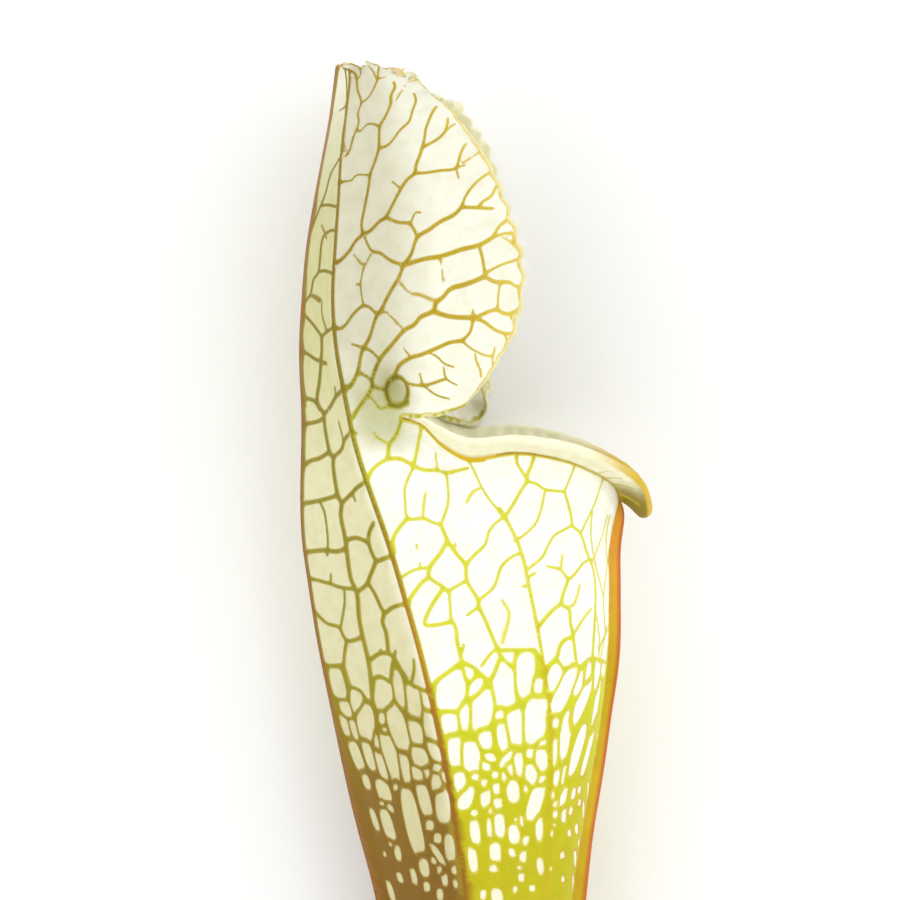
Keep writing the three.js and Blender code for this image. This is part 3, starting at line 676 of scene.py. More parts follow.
# Below this line, in the photograph's pixels, windows lie apart in the green. Each is given by its
# middle, half its width and half its length, and how far it leans forward for each pixel down.
LOWER_EDGE = [
    (325, 664), (337, 666), (344, 665), (348, 687), (361, 690), (366, 699), (372, 703), (374, 679),
    (380, 676), (391, 682), (394, 657), (410, 684), (418, 688), (430, 692), (434, 684), (440, 678),
    (454, 668), (462, 662), (476, 669), (488, 681), (492, 678), (501, 656), (503, 659), (513, 668),
    (517, 651), (535, 649), (546, 668), (556, 658), (564, 670), (576, 662), (578, 669), (590, 658),
    (606, 662),
]
LOWER_WINDOWS = [
    # The back panel
    (338, 683, 6.5, 15, .22), (357, 700, 5.5, 11, .05), (384, 694, 8.5, 15, 0), (399, 688, 5, 18, .22),
    (414, 703, 7, 18, .12), (427, 701, 4.5, 9, .15), (346, 709, 4.5, 7.5, .3), (366, 722, 8, 17, .05),
    (346, 727, 3, 11, .3), (354, 729, 3, 9, .3), (382, 718, 2.5, 5, 0), (385, 731, 2.2, 2.2, 0),
    (398, 727, 8, 23, .28), (416, 731, 6, 14, .15), (431, 726, 6.5, 15, .22), (357, 756, 4.5, 16, .35),
    (369, 755, 4, 15, .3), (377, 741, 2, 8, .2), (382, 765, 4, 13, .3), (391, 757, 6.5, 23, .28),
    (405, 768, 4.5, 15, .12), (420, 757, 7, 11, .3), (435, 751, 5.5, 11, .35), (418, 775, 5, 8, .2),
    (427, 771, 3, 6, .2), (438, 768, 3.5, 3.5, 0), (437, 783, 4.5, 9, .1), (444, 776, 2.5, 5, .2),
    (366, 780, 3, 9, .3), (384, 791, 6.5, 11, .3), (383, 803, 2.5, 3.5, 0), (390, 806, 2.2, 5, .4),
    (396, 785, 1.8, 3.5, 0), (424, 799, 5.5, 18, .25), (413, 822, 7.5, 34, .22), (443, 806, 6.5, 17, .05),
    (430, 824, 3.5, 6, 0), (375, 819, 2.5, 11, .3), (388, 825, 5, 15, .3), (398, 852, 3, 8, .15),
    (391, 843, 1.8, 2.5, .4), (385, 854, 1.4, 2, .3), (438, 838, 3, 5, 0), (450, 848, 4, 13, .1),
    (438, 854, 3.5, 10, .6), (434, 861, 2, 3, .3), (424, 866, 4.5, 11, .15), (414, 877, 2.5, 8, .2),
    (440, 870, 2.5, 4, 0), (445, 879, 3, 6.5, .1), (454, 870, 2, 6, .1), (456, 883, 2, 5, .1),
    (427, 886, 3, 4.5, .1), (400, 878, 2.5, 5, .3), (391, 892, 2.5, 11, .3), (440, 895, 3, 6, 0),
    # The flank
    (451, 690, 13, 20, -.1), (436, 672, 2.5, 5, 0), (469, 672, 3.5, 6, 0), (476, 687, 5, 9, -.2),
    (505, 686, 11, 23, .05), (524, 674, 9, 22, -.1), (538, 687, 4.5, 8, 0), (482, 711, 9.5, 20, -.15),
    (465, 716, 4.5, 12, .05), (450, 723, 7.5, 11, .1), (500, 713, 3.5, 5, -.4), (515, 727, 7.5, 19, .05),
    (535, 720, 10.5, 23, -.1), (503, 737, 5, 13, .15), (455, 752, 6, 16, .05), (485, 739, 6, 10, .1),
    (471, 756, 8.5, 15, .05), (490, 758, 4, 3.5, .4), (486, 767, 3.5, 4, .3), (495, 775, 2.5, 4, 0),
    (508, 757, 4, 9, -.6), (518, 762, 4, 13, .1), (510, 770, 3, 6, .1), (505, 777, 2.5, 5, .1),
    (530, 752, 3, 4, 0), (541, 744, 3.5, 3.5, -.3), (541, 760, 5.5, 11, .05), (531, 774, 6, 10, .05),
    (541, 781, 3, 4, -.2), (460, 781, 5, 10, .15), (466, 798, 6.5, 11, -.3), (475, 777, 3, 3, 0),
    (484, 784, 2.5, 4, 0), (486, 798, 4.5, 8.5, 0), (496, 788, 3, 5.5, 0), (497, 803, 4, 6.5, .05),
    (491, 811, 2.5, 3.5, 0), (513, 791, 5.5, 11, .1), (526, 788, 2, 4, 0), (535, 803, 6.5, 17, -.28),
    (474, 814, 2.5, 3, 0), (475, 831, 4.5, 12, .1), (490, 829, 2.5, 10, .05), (499, 825, 5, 12, .05),
    (514, 833, 5, 9, .05), (516, 820, 2, 2.5, 0), (521, 822, 2, 4.5, 0), (539, 829, 3, 11, 0),
    (525, 842, 3, 6, -.2), (523, 856, 3, 7, -.1), (520, 868, 2.5, 3, 0), (521, 876, 2.5, 4.5, 0),
    (512, 853, 2.5, 4, .2), (473, 860, 4, 13, .1), (495, 852, 5, 12, .05), (494, 867, 4.5, 4.5, 0),
    (540, 865, 3, 7, .1), (497, 897, 5.5, 8, .1), (483, 895, 2.5, 4, 0), (515, 889, 2, 3, 0),
    (532, 888, 2.5, 3.5, 0),
    # The front
    (554, 677, 6, 14, -.3), (563, 692, 7, 24, -.42), (580, 682, 3, 13, -.35), (581, 704, 4.5, 23, -.4),
    (587, 672, 3, 9, -.15), (597, 674, 2.5, 15, -.1), (603, 668, 1.5, 9, -.1),
    (555, 722, 3, 6, 0), (565, 735, 4.5, 24, -.15), (577, 750, 4, 26, -.28), (555, 752, 3, 13, 0),
    (588, 750, 1.8, 30, -.25), (596, 705, 1.8, 26, -.15), (557, 778, 3, 9, -.1), (563, 775, 1.8, 12, -.25),
    (563, 796, 2.5, 9, -.2), (552, 794, 2, 4, 0), (555, 804, 2, 4, 0), (555, 815, 2, 4, 0),
    (573, 795, 2, 8, -.15), (571, 809, 2, 7, -.2), (564, 816, 2.5, 7, -.1), (579, 790, 1.5, 8, -.1),
    (579, 802, 1.5, 4, 0), (554, 824, 1.5, 3, 0), (552, 833, 1.5, 3, 0), (569, 833, 1.4, 3, 0),
    (576, 828, 1.3, 4, 0), (562, 855, 1.8, 4, 0), (563, 880, 1.5, 2.5, 0), (550, 868, 1.5, 2, 0),
]
TRACE_LOW = 222.0
SEEN_COLUMNS, SEEN_STEP = 221, 0.5
PHOTO_PIXEL = 0.16


def path_lengths(path):
    return np.append(0, np.cumsum(np.linalg.norm(np.diff(path, axis=0), axis=1)))


def resampled(path, step, smooth=False):
    """Points at even steps along a path, straight between its points or on a smooth curve through them."""
    path = np.asarray(path, float)
    lengths = path_lengths(path)
    even = np.linspace(0, lengths[-1], max(int(lengths[-1] / step), 1) + 1)
    return through(lengths, path, even) if smooth else between(even, lengths, path)


def seen_samples():
    """Places all over the near half that face the camera, on the map and in the photograph."""
    places, pixels = [], []
    for on_hood, low, high in ((False, TRACE_LOW, MAP_NECK), (True, MAP_NECK, MAP_TOP)):
        columns, ups = np.linspace(MIDRIB, FRONT, SEEN_COLUMNS), np.arange(low, high, SEEN_STEP)
        column, height = (g.ravel() for g in np.meshgrid(columns, ups))
        at = laid(skin(1, on_hood, column, height))
        grid = at.reshape(len(ups), len(columns), 3)
        facing = np.cross(np.gradient(grid, axis=1), np.gradient(grid, axis=0)).reshape(-1, 3) @ LOOK < 0
        places.append(map_places(on_hood, column, height)[facing])
        pixels.append(photo_pixels(at[facing]))
    return np.concatenate(places), np.concatenate(pixels)


def on_map(seen, points):
    """Map places of points of the photograph, each from the three nearest places seen."""
    places, pixels = seen
    found = []
    for point in np.asarray(points, float):
        away = ((pixels - point) ** 2).sum(axis=1)
        k = np.argpartition(away, 3)[:3]
        share = 1 / (away[k] + 0.01)
        found.append(share @ places[k] / share.sum())
    return np.array(found)


# The net of one half. Its field says, for every place of the map, how many half widths the nearest
# vein's middle is away: 0 is a vein's middle, 1 is the edge of a window.
PIXEL = 0.2
FIELD_LOW = np.array([-3.0, -3.0])
FIELD_SIZE = (int((MAP_TOP + 6) / PIXEL), int(84 / PIXEL))
VEIN_REACH = 2.6
FAR = 9.0
FAINTNESS = 0.75
SMALLEST_WINDOW, NARROWEST_WINDOW = 0.12, 0.4
LOOP_ROUNDS = 3
SMALLEST_LOOP, FEWEST_POINTS = 5, 6
WINDOW_DEPTH = 0.25
WINDOW_GAP = 0.46
WINDOW_MARGIN = 0.8
WINDOW_SQUARENESS = 2.9
EDGE_VEIN = 0.26
KEEL_VEIN = [(0, 0.5), (231, 0.6), (262, 0.75), (290, 0.95), (308, 1.6), (345, 1.6), (357, 1.0)]
VEIN_BREADTH = [(250, 1.2), (275, 1.06), (298, 0.95), (306, 0.82), (316, 0.72), (345, 0.72), (358, 0.8)]
BACK_SHOWN = [(0, 1.0), (240, 0.78), (290, 0.7), (312, 0.5), (345, 0.52), (360, 0.7)]
TURNED_COLUMN, FRONT_SHOWN = 20.2, 0.7
WINDOW_GROWTH = [(222, 0.2), (240, 0.7), (264, 1.2)]
WINDOW_START, SHOULDER_START = 1.1, 1.12
OPEN_WINDOW, WINDOW_END = 1.8, 1.15
RIDGE_VEIN = [(0, 0.5), (225, 0.42), (300, 0.36), (325, 0.32), (356, 0.17)]
RIB_VEIN = [(0, 0.4), (215, 0.36), (240, 0.28), (290, 0.26)]
RIDGE_TOP, RIB_TOP = MAP_TOP - 2, 296
FRONT_VEIN, RIM_VEIN, MARGIN_VEIN = [(0, 0.5)], [(0, 0.48)], [(0, 0.24)]
COLUMN_PATH_STEP = 0.8
TRACE_STEP, LOWER_EDGE_STEP = 0.6, 2.0
GAP_MIDDLE = (-0.7, -0.07)
BEND, BEND_PHASE, BEND_ROUNDS = 1.3, 2.1, 8
BREAST_VEIN = 0.2
BREAST_VEINS = [
    [(-10.5, 271), (-7.5, 273), (-4, 274.5), (0, 278)],
    [(-7.5, 273), (-8.5, 279), (-5.5, 284), (0, 287)],
    [(-8.5, 279), (-11.5, 284), (-13, 290), (-12.5, 295)],
    [(-5.5, 284), (-6.5, 290), (-5, 296)],
    [(-4, 274.5), (-3, 271), (-3.5, 267)],
]
BREAST_TRIES = 900
BREAST_HEIGHTS, BREAST_COLUMN, BREAST_ASIDE = (214, 272), 18.4, 1.6
BREAST_GAPS, BREAST_SPREAD, BREAST_LENGTH = (0.35, 0.35), (0.6, 1.2), (1.5, 2.8)
BREAST_SIZE = [(214, 0.4), (240, 0.75), (272, 1.5)]
BREAST_EDGE = [(1.6, 2.5), (3.2, -1.5), (4.8, 3.5), (6.6, 0.5), (8.4, 4.0), (10.4, 0.5), (12.5, 3.0)]
SPOT_TRIES = 420
SPOT_HEIGHTS, SPOT_ASIDE = (120, 229), 1.5
SPOT_GAPS, SPOT_SPREAD, SPOT_LENGTH = (0.5, 0.8), (0.5, 1), (1.8, 3.2)
SPOT_SIZE = [(120, 0.3), (200, 0.55), (229, 0.8)]
SPOT_SHARE = [(120, 0.1), (229, 1.0)]


def column_across(column, up):
    """How far across the map a column lies, at each height."""
    up = np.asarray(up, float)
    trunk = map_places(False, column, np.clip(up, 0, MAP_NECK))[:, 0]
    hood = map_places(True, column, np.clip(up, MAP_NECK, MAP_TOP))[:, 0]
    return np.where(up > MAP_NECK, hood, trunk)


def shown_share(path):
    """How much of its breadth the sheet shows to the camera along a path."""
    back = path[:, 0] < column_across(RIDGE, path[:, 1])
    front = (path[:, 0] > column_across(TURNED_COLUMN, path[:, 1])) & (path[:, 1] < MAP_NECK)
    return np.where(back, at_height(path[:, 1], BACK_SHOWN), np.where(front, FRONT_SHOWN, 1.0))


def wander(points, phase, size):
    """Bends the map a little, so that one half's net isn't the other's."""
    x, y = points[:, 0], points[:, 1]
    dx = np.sin(0.21 * y + 0.1 * x + phase) + 0.3 * np.sin(0.9 * y - 0.5 * x + 2 * phase)
    dy = np.sin(0.23 * x - 0.1 * y + 1.7 * phase) + 0.3 * np.sin(0.8 * x + 0.6 * y + phase)
    return points + size * np.stack([dx, dy], axis=1) * np.clip(x / 4, 0, 1)[:, None]


def field_part(low, high):
    """The part of the field that covers a box of the map, with its places across and up."""
    i0, j0 = np.maximum(np.floor((low - FIELD_LOW) / PIXEL).astype(int), 0)
    i1, j1 = np.minimum(np.ceil((high - FIELD_LOW) / PIXEL).astype(int), FIELD_SIZE[::-1])
    i1, j1 = max(i1, i0), max(j1, j0)
    x = FIELD_LOW[0] + PIXEL * np.arange(i0, i1)[None, :]
    y = FIELD_LOW[1] + PIXEL * np.arange(j0, j1)[:, None]
    return (slice(j0, j1), slice(i0, i1)), x, y


def field_places(i, j):
    """Places of the map at the field's columns and rows."""
    return FIELD_LOW + PIXEL * np.stack([i, j], axis=1)


def stamp_vein(field, distance, path, widths, faintness=0.0, shown=None):
    """Draws one vein into the field, and its distance beside it. It is broader where less of it shows."""
    shown = np.ones(len(path)) if shown is None else shown
    for a, b, wa, wb, share in zip(path[:-1], path[1:], widths[:-1], widths[1:], shown):
        part, x, y = field_part(np.minimum(a, b) - VEIN_REACH, np.maximum(a, b) + VEIN_REACH)
        x, y = (x - a[0]) * share, y - a[1]
        way = (b - a) * (share, 1)
        t = np.clip((x * way[0] + y * way[1]) / max(way @ way, TINY), 0, 1)
        away = np.hypot(x - t * way[0], y - t * way[1])
        value = away / (wa + t * (wb - wa))
        if faintness:
            value = faintness + (1 - faintness) * value
        field[part] = np.minimum(field[part], value)
        distance[part] = np.minimum(distance[part], away)


def note_window(best, second, middle, half_width, half_length, lean):
    """Notes how deep places lie in one rounded window, and how deep in the next best one."""
    reach = np.array([half_width + abs(lean) * half_length, half_length]) + WINDOW_MARGIN
    part, x, y = field_part(middle - reach, middle + reach)
    y = y - middle[1]
    x = (x - middle[0] - lean * y) / half_width
    radius = np.abs(x) ** WINDOW_SQUARENESS + np.abs(y / half_length) ** WINDOW_SQUARENESS
    depth = (1 - radius ** (1 / WINDOW_SQUARENESS)) * half_width
    second[part] = np.maximum(second[part], np.minimum(best[part], depth))
    best[part] = np.maximum(best[part], depth)


def sampled(field, points):
    """The field's value at places of the map."""
    place = (points - FIELD_LOW) / PIXEL
    i = np.clip(place[:, 0].astype(int), 0, FIELD_SIZE[1] - 2)
    j = np.clip(place[:, 1].astype(int), 0, FIELD_SIZE[0] - 2)
    s, t = np.clip(place[:, 0] - i, 0, 1), np.clip(place[:, 1] - j, 0, 1)
    low = field[j, i] * (1 - s) + field[j, i + 1] * s
    high = field[j + 1, i] * (1 - s) + field[j + 1, i + 1] * s
    return low * (1 - t) + high * t


def crowded(windows, middle, half, gaps):
    """Whether a window of a half size would come too near one that is there."""
    return any(np.abs((middle - m) / (half + (w, l) + gaps)).max() < 1 for m, w, l, _ in windows)


def lower_windows(rng, seen):
    """The windows that lie apart: the seen ones, and fewer and smaller ones below the photograph."""
    windows = []
    for x, y, half_width, half_length, lean in LOWER_WINDOWS:
        drift = lean * half_length
        left, right, top, foot = on_map(seen, [(x - half_width, y), (x + half_width, y),
                                               (x - drift, y - half_length), (x + drift, y + half_length)])
        width, length = (right[0] - left[0]) / 2, (top[1] - foot[1]) / 2
        growth = PHOTO_PIXEL * at_height(left[1], WINDOW_GROWTH)
        width_grown = width * (1 + growth / max(width, NARROWEST_WINDOW))
        windows.append(((left + right) / 2, width_grown, length + growth, (top[0] - foot[0]) / 2 / length))
    for _ in range(SPOT_TRIES):
        up = rng.uniform(*SPOT_HEIGHTS)
        across = rng.uniform(SPOT_ASIDE, column_across(FRONT, [up])[0] - SPOT_ASIDE)
        size = rng.uniform(*SPOT_SPREAD) * at_height(up, SPOT_SIZE)
        middle, half = np.array([across, up]), np.array([size, size * rng.uniform(*SPOT_LENGTH)])
        if not crowded(windows, middle, half, SPOT_GAPS) and rng.uniform() < at_height(up, SPOT_SHARE):
            windows.append((middle, *half, 0.0))
    for _ in range(BREAST_TRIES):
        up = rng.uniform(*BREAST_HEIGHTS)
        low, high = column_across(BREAST_COLUMN, [up])[0], column_across(FRONT, [up])[0] - BREAST_ASIDE
        size = rng.uniform(*BREAST_SPREAD) * at_height(up, BREAST_SIZE)
        middle = np.array([rng.uniform(low, high), up])
        half = np.array([size, size * rng.uniform(*BREAST_LENGTH)])
        if not crowded(windows, middle, half, BREAST_GAPS):
            windows.append((middle, *half, 0.0))
    return windows


def traced_net(rng):
    """The near half's net: its field, the plain distance to its veins, and its veins' middles."""
    seen = seen_samples()
    field, distance = np.full(FIELD_SIZE, FAR), np.full(FIELD_SIZE, VEIN_REACH)
    middles = []

    def draw(half_width, path, faintness=0.0):
        widths = half_width * at_height(path[:, 1], VEIN_BREADTH)
        stamp_vein(field, distance, path, widths, faintness, shown_share(path))
        middles.append(path)

    for trace in FAINT_VEINS:
        draw(FAINT_VEIN, resampled(on_map(seen, trace), TRACE_STEP, smooth=True), FAINTNESS)
    for half_width, traces in TRACED_VEINS.items():
        for trace in traces:
            draw(half_width, resampled(on_map(seen, trace), TRACE_STEP, smooth=True))
    for trace in BREAST_VEINS:
        path = np.array(trace, float)
        path[:, 0] += column_across(FRONT, path[:, 1])
        draw(BREAST_VEIN, resampled(path, TRACE_STEP, smooth=True))

    edge = on_map(seen, resampled(LOWER_EDGE, LOWER_EDGE_STEP))
    edge = np.concatenate([edge, edge[edge[:, 0].argmax()] + np.array(BREAST_EDGE)])
    order = np.argsort(edge[:, 0])
    across = FIELD_LOW[0] + PIXEL * np.arange(FIELD_SIZE[1])
    up = FIELD_LOW[1] + PIXEL * np.arange(FIELD_SIZE[0])
    lower = up[:, None] < np.interp(across, edge[order, 0], edge[order, 1])[None, :]
    best, second = np.full(FIELD_SIZE, -FAR), np.full(FIELD_SIZE, -FAR)
    for window in lower_windows(rng, seen):
        note_window(best, second, *window)
    depth = np.minimum(best, (best - second - WINDOW_GAP) / 2)
    field[lower] = np.clip(1 + depth / WINDOW_DEPTH, 0, FAR)[lower]
    distance[lower] = np.clip(depth, 0, VEIN_REACH)[lower]
    draw(EDGE_VEIN, edge[order])
    j, i = np.nonzero(lower & (depth > GAP_MIDDLE[0]) & (depth < GAP_MIDDLE[1]))
    middles.append(field_places(i, j))
    return {"field": field, "distance": distance, "middles": np.concatenate(middles)}


def bent_net(net):
    """The far half's net: the near half's, bent a little."""
    i, j = np.meshgrid(np.arange(FIELD_SIZE[1]), np.arange(FIELD_SIZE[0]))
    bent = wander(field_places(i.ravel(), j.ravel()), BEND_PHASE, BEND)
    middles = net["middles"]
    for _ in range(BEND_ROUNDS):
        middles = middles + net["middles"] - wander(middles, BEND_PHASE, BEND)
    fields = {name: sampled(net[name], bent).reshape(FIELD_SIZE) for name in ("field", "distance")}
    return {**fields, "middles": middles}


def column_path(column, top):
    """The map's line up one column."""
    up = np.arange(0, top, COLUMN_PATH_STEP)
    return np.stack([column_across(column, up), up], axis=1)


def closed_net(net, edges):
    """A net with its ridge, its rib and the lines at the map's edges drawn in."""
    field, distance, middles = net["field"].copy(), net["distance"].copy(), [net["middles"]]
    for column, widths, top in ((RIDGE, RIDGE_VEIN, RIDGE_TOP), (RIB, RIB_VEIN, RIB_TOP)):
        path = column_path(column, top)
        stamp_vein(field, distance, path, at_height(path[:, 1], widths))
        middles.append(path)
    for widths, path in edges:
        stamp_vein(field, distance, path, at_height(path[:, 1], widths))
    return {"field": field, "distance": distance, "middles": np.concatenate(middles)}


# Window outlines, as closed lines of the field
CASES = {1: ((3, 0),), 2: ((0, 1),), 3: ((3, 1),), 4: ((1, 2),), 5: ((3, 2), (1, 0)), 6: ((0, 2),),
         7: ((3, 2),), 8: ((2, 3),), 9: ((2, 0),), 10: ((0, 3), (2, 1)), 11: ((2, 1),), 12: ((1, 3),),
         13: ((1, 0),), 14: ((0, 3),)}


def outlines(field, level):
    """The lines where the field is at a level, as lists of map places."""
    tall, wide = field.shape
    high = field > level
    number = np.arange(tall * wide).reshape(tall, wide) * 2
    code = high[:-1, :-1] * 1 + high[:-1, 1:] * 2 + high[1:, 1:] * 4 + high[1:, :-1] * 8
    sides = [number[:-1, :-1], number[:-1, 1:] + 1, number[1:, :-1], number[:-1, :-1] + 1]
    onward = {}
    for case, pairs in CASES.items():
        chosen = code == case
        for start, end in pairs:
            onward.update(zip(sides[start][chosen].tolist(), sides[end][chosen].tolist()))
    ids = np.array(sorted(set(onward) | set(onward.values())))
    upright, cell = ids % 2, ids // 2
    j, i = cell // wide, cell % wide
    first = field[j, i]
    above, beside = field[np.minimum(j + 1, tall - 1), i], field[j, np.minimum(i + 1, wide - 1)]
    t = (level - first) / (np.where(upright == 1, above, beside) - first)
    place = dict(zip(ids.tolist(), field_places(i + t * (1 - upright), j + t * upright)))
    lines = []
    while onward:
        start, at = onward.popitem()
        line = [place[start]]
        while at in onward:
            line.append(place[at])
            at = onward.pop(at)
        if at == start and len(line) >= SMALLEST_LOOP:
            lines.append(np.array(line))
    return lines


def rounded_loop(line, step, rounds):
    """A closed line with its corners smoothed, at even steps."""
    for _ in range(rounds):
        line = 0.5 * line + 0.25 * (np.roll(line, 1, axis=0) + np.roll(line, -1, axis=0))
    closed = np.concatenate([line, line[:1]])
    lengths = path_lengths(closed)
    count = max(int(lengths[-1] / step), FEWEST_POINTS)
    return between(np.arange(count) * lengths[-1] / count, lengths, closed)


def loop_area(line):
    x, y = line[:, 0], line[:, 1]
    return 0.5 * (x @ np.roll(y, -1) - y @ np.roll(x, -1))


# The free margin of the hood on the map: from the neck along its lower edge, up its front and back
# along its top to the midrib. Its corners are round and it is crinkled.
MARGIN_STEP = 0.5
CORNER_ROUNDS = 60
CRINKLE = {1: 0.7, -1: 0.9}
CRINKLE_LENGTH, CRINKLE_START, CRINKLE_END = 3.3, (1, 6), (0.5, 4)
FRONT_MARGIN_POINTS, MARGIN_BASE_STEP = 120, 0.25
RIM_POINTS, EDGE_STEP, KEEL_BEYOND = 60, 1.0, 3


def left_of(path):
    """Unit vectors to the left of a path."""
    along = np.gradient(path, axis=0)
    return unit(np.stack([-along[:, 1], along[:, 0]], axis=1))


def hood_margin(side):
    neck = map_places(True, [NECK], MAP_NECK)
    front = map_places(True, FRONT, np.linspace(MAP_NECK, MAP_TOP, FRONT_MARGIN_POINTS))
    base = np.concatenate([neck, front, [(0, MAP_TOP)]])
    path = resampled(base, MARGIN_BASE_STEP)
    for _ in range(CORNER_ROUNDS):
        path[1:-1] = 0.5 * path[1:-1] + 0.25 * (path[:-2] + path[2:])
    s = path_lengths(path)
    turn = 2 * math.pi * s / CRINKLE_LENGTH + 0.9 * np.sin(s / 5.3 + side) + 0.7 * np.sin(s / 3.1)
    depth = CRINKLE[side] * (0.5 - 0.5 * np.cos(turn)) * (0.6 + 0.4 * np.sin(s / 6.1 + 2 * side))
    depth = depth * smoothstep(s, *CRINKLE_START) * smoothstep(s[-1] - s, *CRINKLE_END)
    path = path + left_of(path) * depth[:, None]
    path[0], path[-1] = base[0], base[-1]
    return resampled(path, MARGIN_STEP)


def edge_veins(margin):
    """The lines that close the net at the edges of the map, as half widths and paths."""
    up = np.arange(-KEEL_BEYOND, MAP_TOP + KEEL_BEYOND + 0.1, EDGE_STEP)
    return [
        (KEEL_VEIN, np.stack([np.zeros(len(up)), up], axis=1)),
        (FRONT_VEIN, map_places(False, FRONT, np.append(np.arange(0, MAP_NECK, EDGE_STEP), MAP_NECK))),
        (RIM_VEIN, map_places(False, np.linspace(NECK, FRONT, RIM_POINTS), MAP_NECK)),
        (MARGIN_VEIN, margin),
    ]


# The mesh of one piece, collected patch by patch with each point's paint
class Shell:
    def __init__(self):
        self.places, self.faces, self.nets, self.paints, self.count = [], [], [], [], 0

    def add(self, side, points, triangles, nets, paint, flipped=False):
        """Points of one half, with triangles that are seen from outside on the near half."""
        if (side < 0) != flipped:
            triangles, nets = triangles[:, ::-1], nets[:, ::-1]
        self.places.append(laid(points, side))
        self.faces.append(triangles + self.count)
        self.nets.append(nets)
        self.paints.append(paint)
        self.count += len(points)

    def grid(self, side, rows, paint, flipped=False):
        """Rows of points, each row's columns running right and the rows upwards."""
        tall, wide = rows.shape[:2]
        number = np.arange(tall * wide).reshape(tall, wide)
        a, b, c, d = number[:-1, :-1], number[:-1, 1:], number[1:, 1:], number[1:, :-1]
        corners = np.array([(a, b, c), (a, c, d)])
        triangles = corners.transpose(0, 2, 3, 1).reshape(-1, 3)
        self.add(side, rows.reshape(-1, 3), triangles, paint[:, 0][triangles], paint[:, 1:], flipped)

    def plain_grid(self, side, rows, tint, flipped=False):
        """Rows of points in plain colours, without a net."""
        tint = np.broadcast_to(tint, rows.shape).reshape(-1, 3)
        self.grid(side, rows, painted(np.zeros(len(tint)), tint, tint, tint), flipped)


def triangulated(outline, lines, line_edges, points):
    """Triangles of the map inside an outline, along lines and through loose points."""
    count = len(outline)
    edges = [(k, (k + 1) % count) for k in range(count)]
    edges += [(count + a, count + b) for a, b in line_edges]
    every = np.concatenate([outline, lines, points])
    vectors = [Vector(p) for p in every.tolist()]
    made = delaunay_2d_cdt(vectors, edges, [], 1, NEAR_ENOUGH, True)
    places = np.array([tuple(p) for p in made[0]])
    origins = np.array([min(o) if o else -1 for o in made[3]])
    triangles = np.array([f for f in made[2] if len(f) == 3])
    a, b, c = (places[triangles[:, k]] for k in range(3))
    area = (b[:, 0] - a[:, 0]) * (c[:, 1] - a[:, 1]) - (b[:, 1] - a[:, 1]) * (c[:, 0] - a[:, 0])
    triangles[area < 0] = triangles[area < 0][:, ::-1]
    kept = (np.abs(area) > TINY) & inside_polygon((a + b + c) / 3, outline)
    return places, origins, triangles[kept]


def map_spots(points):
    """The spots of the field's grid nearest to places of the map, as its columns and rows."""
    i, j = np.round((points - FIELD_LOW) / PIXEL).astype(int).T
    return np.clip(i, 0, FIELD_SIZE[1] - 1), np.clip(j, 0, FIELD_SIZE[0] - 1)


def square_at(i, j, reach):
    return slice(max(j - reach, 0), j + reach + 1), slice(max(i - reach, 0), i + reach + 1)


def thinned(points, taken, reach):
    """Those points whose spots of a coarse grid aren't taken, each of which then takes its own."""
    kept = []
    for point, i, j in zip(points, *map_spots(points)):
        if not taken[square_at(i, j, reach)].any():
            taken[j, i] = True
            kept.append(point)
    return np.array(kept).reshape(-1, 2)


def mark(taken, points, reach):
    for i, j in zip(*map_spots(points)):
        taken[square_at(i, j, reach)] = True


def inside_polygon(points, polygon):
    """Whether points lie inside a closed outline."""
    inside = np.zeros(len(points), bool)
    x, y = points[:, 0], points[:, 1]
    for (x0, y0), (x1, y1) in zip(polygon, np.roll(polygon, -1, axis=0)):
        if y0 == y1:
            continue
        crossed = (y0 > y) != (y1 > y)
        inside ^= crossed & (x < x0 + (y - y0) / (y1 - y0) * (x1 - x0))
    return inside


def window_lines(net, outline, taken, detail):
    """Where windows end inside a patch: points, their edges, and points a little inside the windows."""
    low, high = outline.min(axis=0), outline.max(axis=0)
    points, nexts, shoulders = [], [], []
    count = 0
    for line in outlines(net["field"], 1.0):
        aside = (line.max(axis=0) < low).any() or (line.min(axis=0) > high).any()
        if aside or abs(loop_area(line)) < SMALLEST_WINDOW:
            continue
        loop = rounded_loop(line, detail["loop"], LOOP_ROUNDS)
        points.append(loop)
        nexts.append(count + np.roll(np.arange(len(loop)), -1))
        count += len(loop)
        if detail["shoulder"]:
            ring = np.concatenate([loop[-1:], loop, loop[:1]])
            shoulders.append(loop + left_of(ring)[1:-1] * detail["shoulder"] * np.sign(loop_area(loop)))
    points, nexts = np.concatenate(points), np.concatenate(nexts)
    i, j = map_spots(points)
    kept = inside_polygon(points, outline) & ~taken[j, i]
    number = np.cumsum(kept) - 1
    joined = kept & kept[nexts]
    edges = np.stack([number[joined], number[nexts[joined]]], axis=1).tolist()
    if shoulders:
        shoulders = np.concatenate(shoulders)
        well_in = sampled(net["field"], shoulders) > SHOULDER_START
        shoulders = shoulders[inside_polygon(shoulders, outline) & well_in]
    return points[kept], edges, shoulders


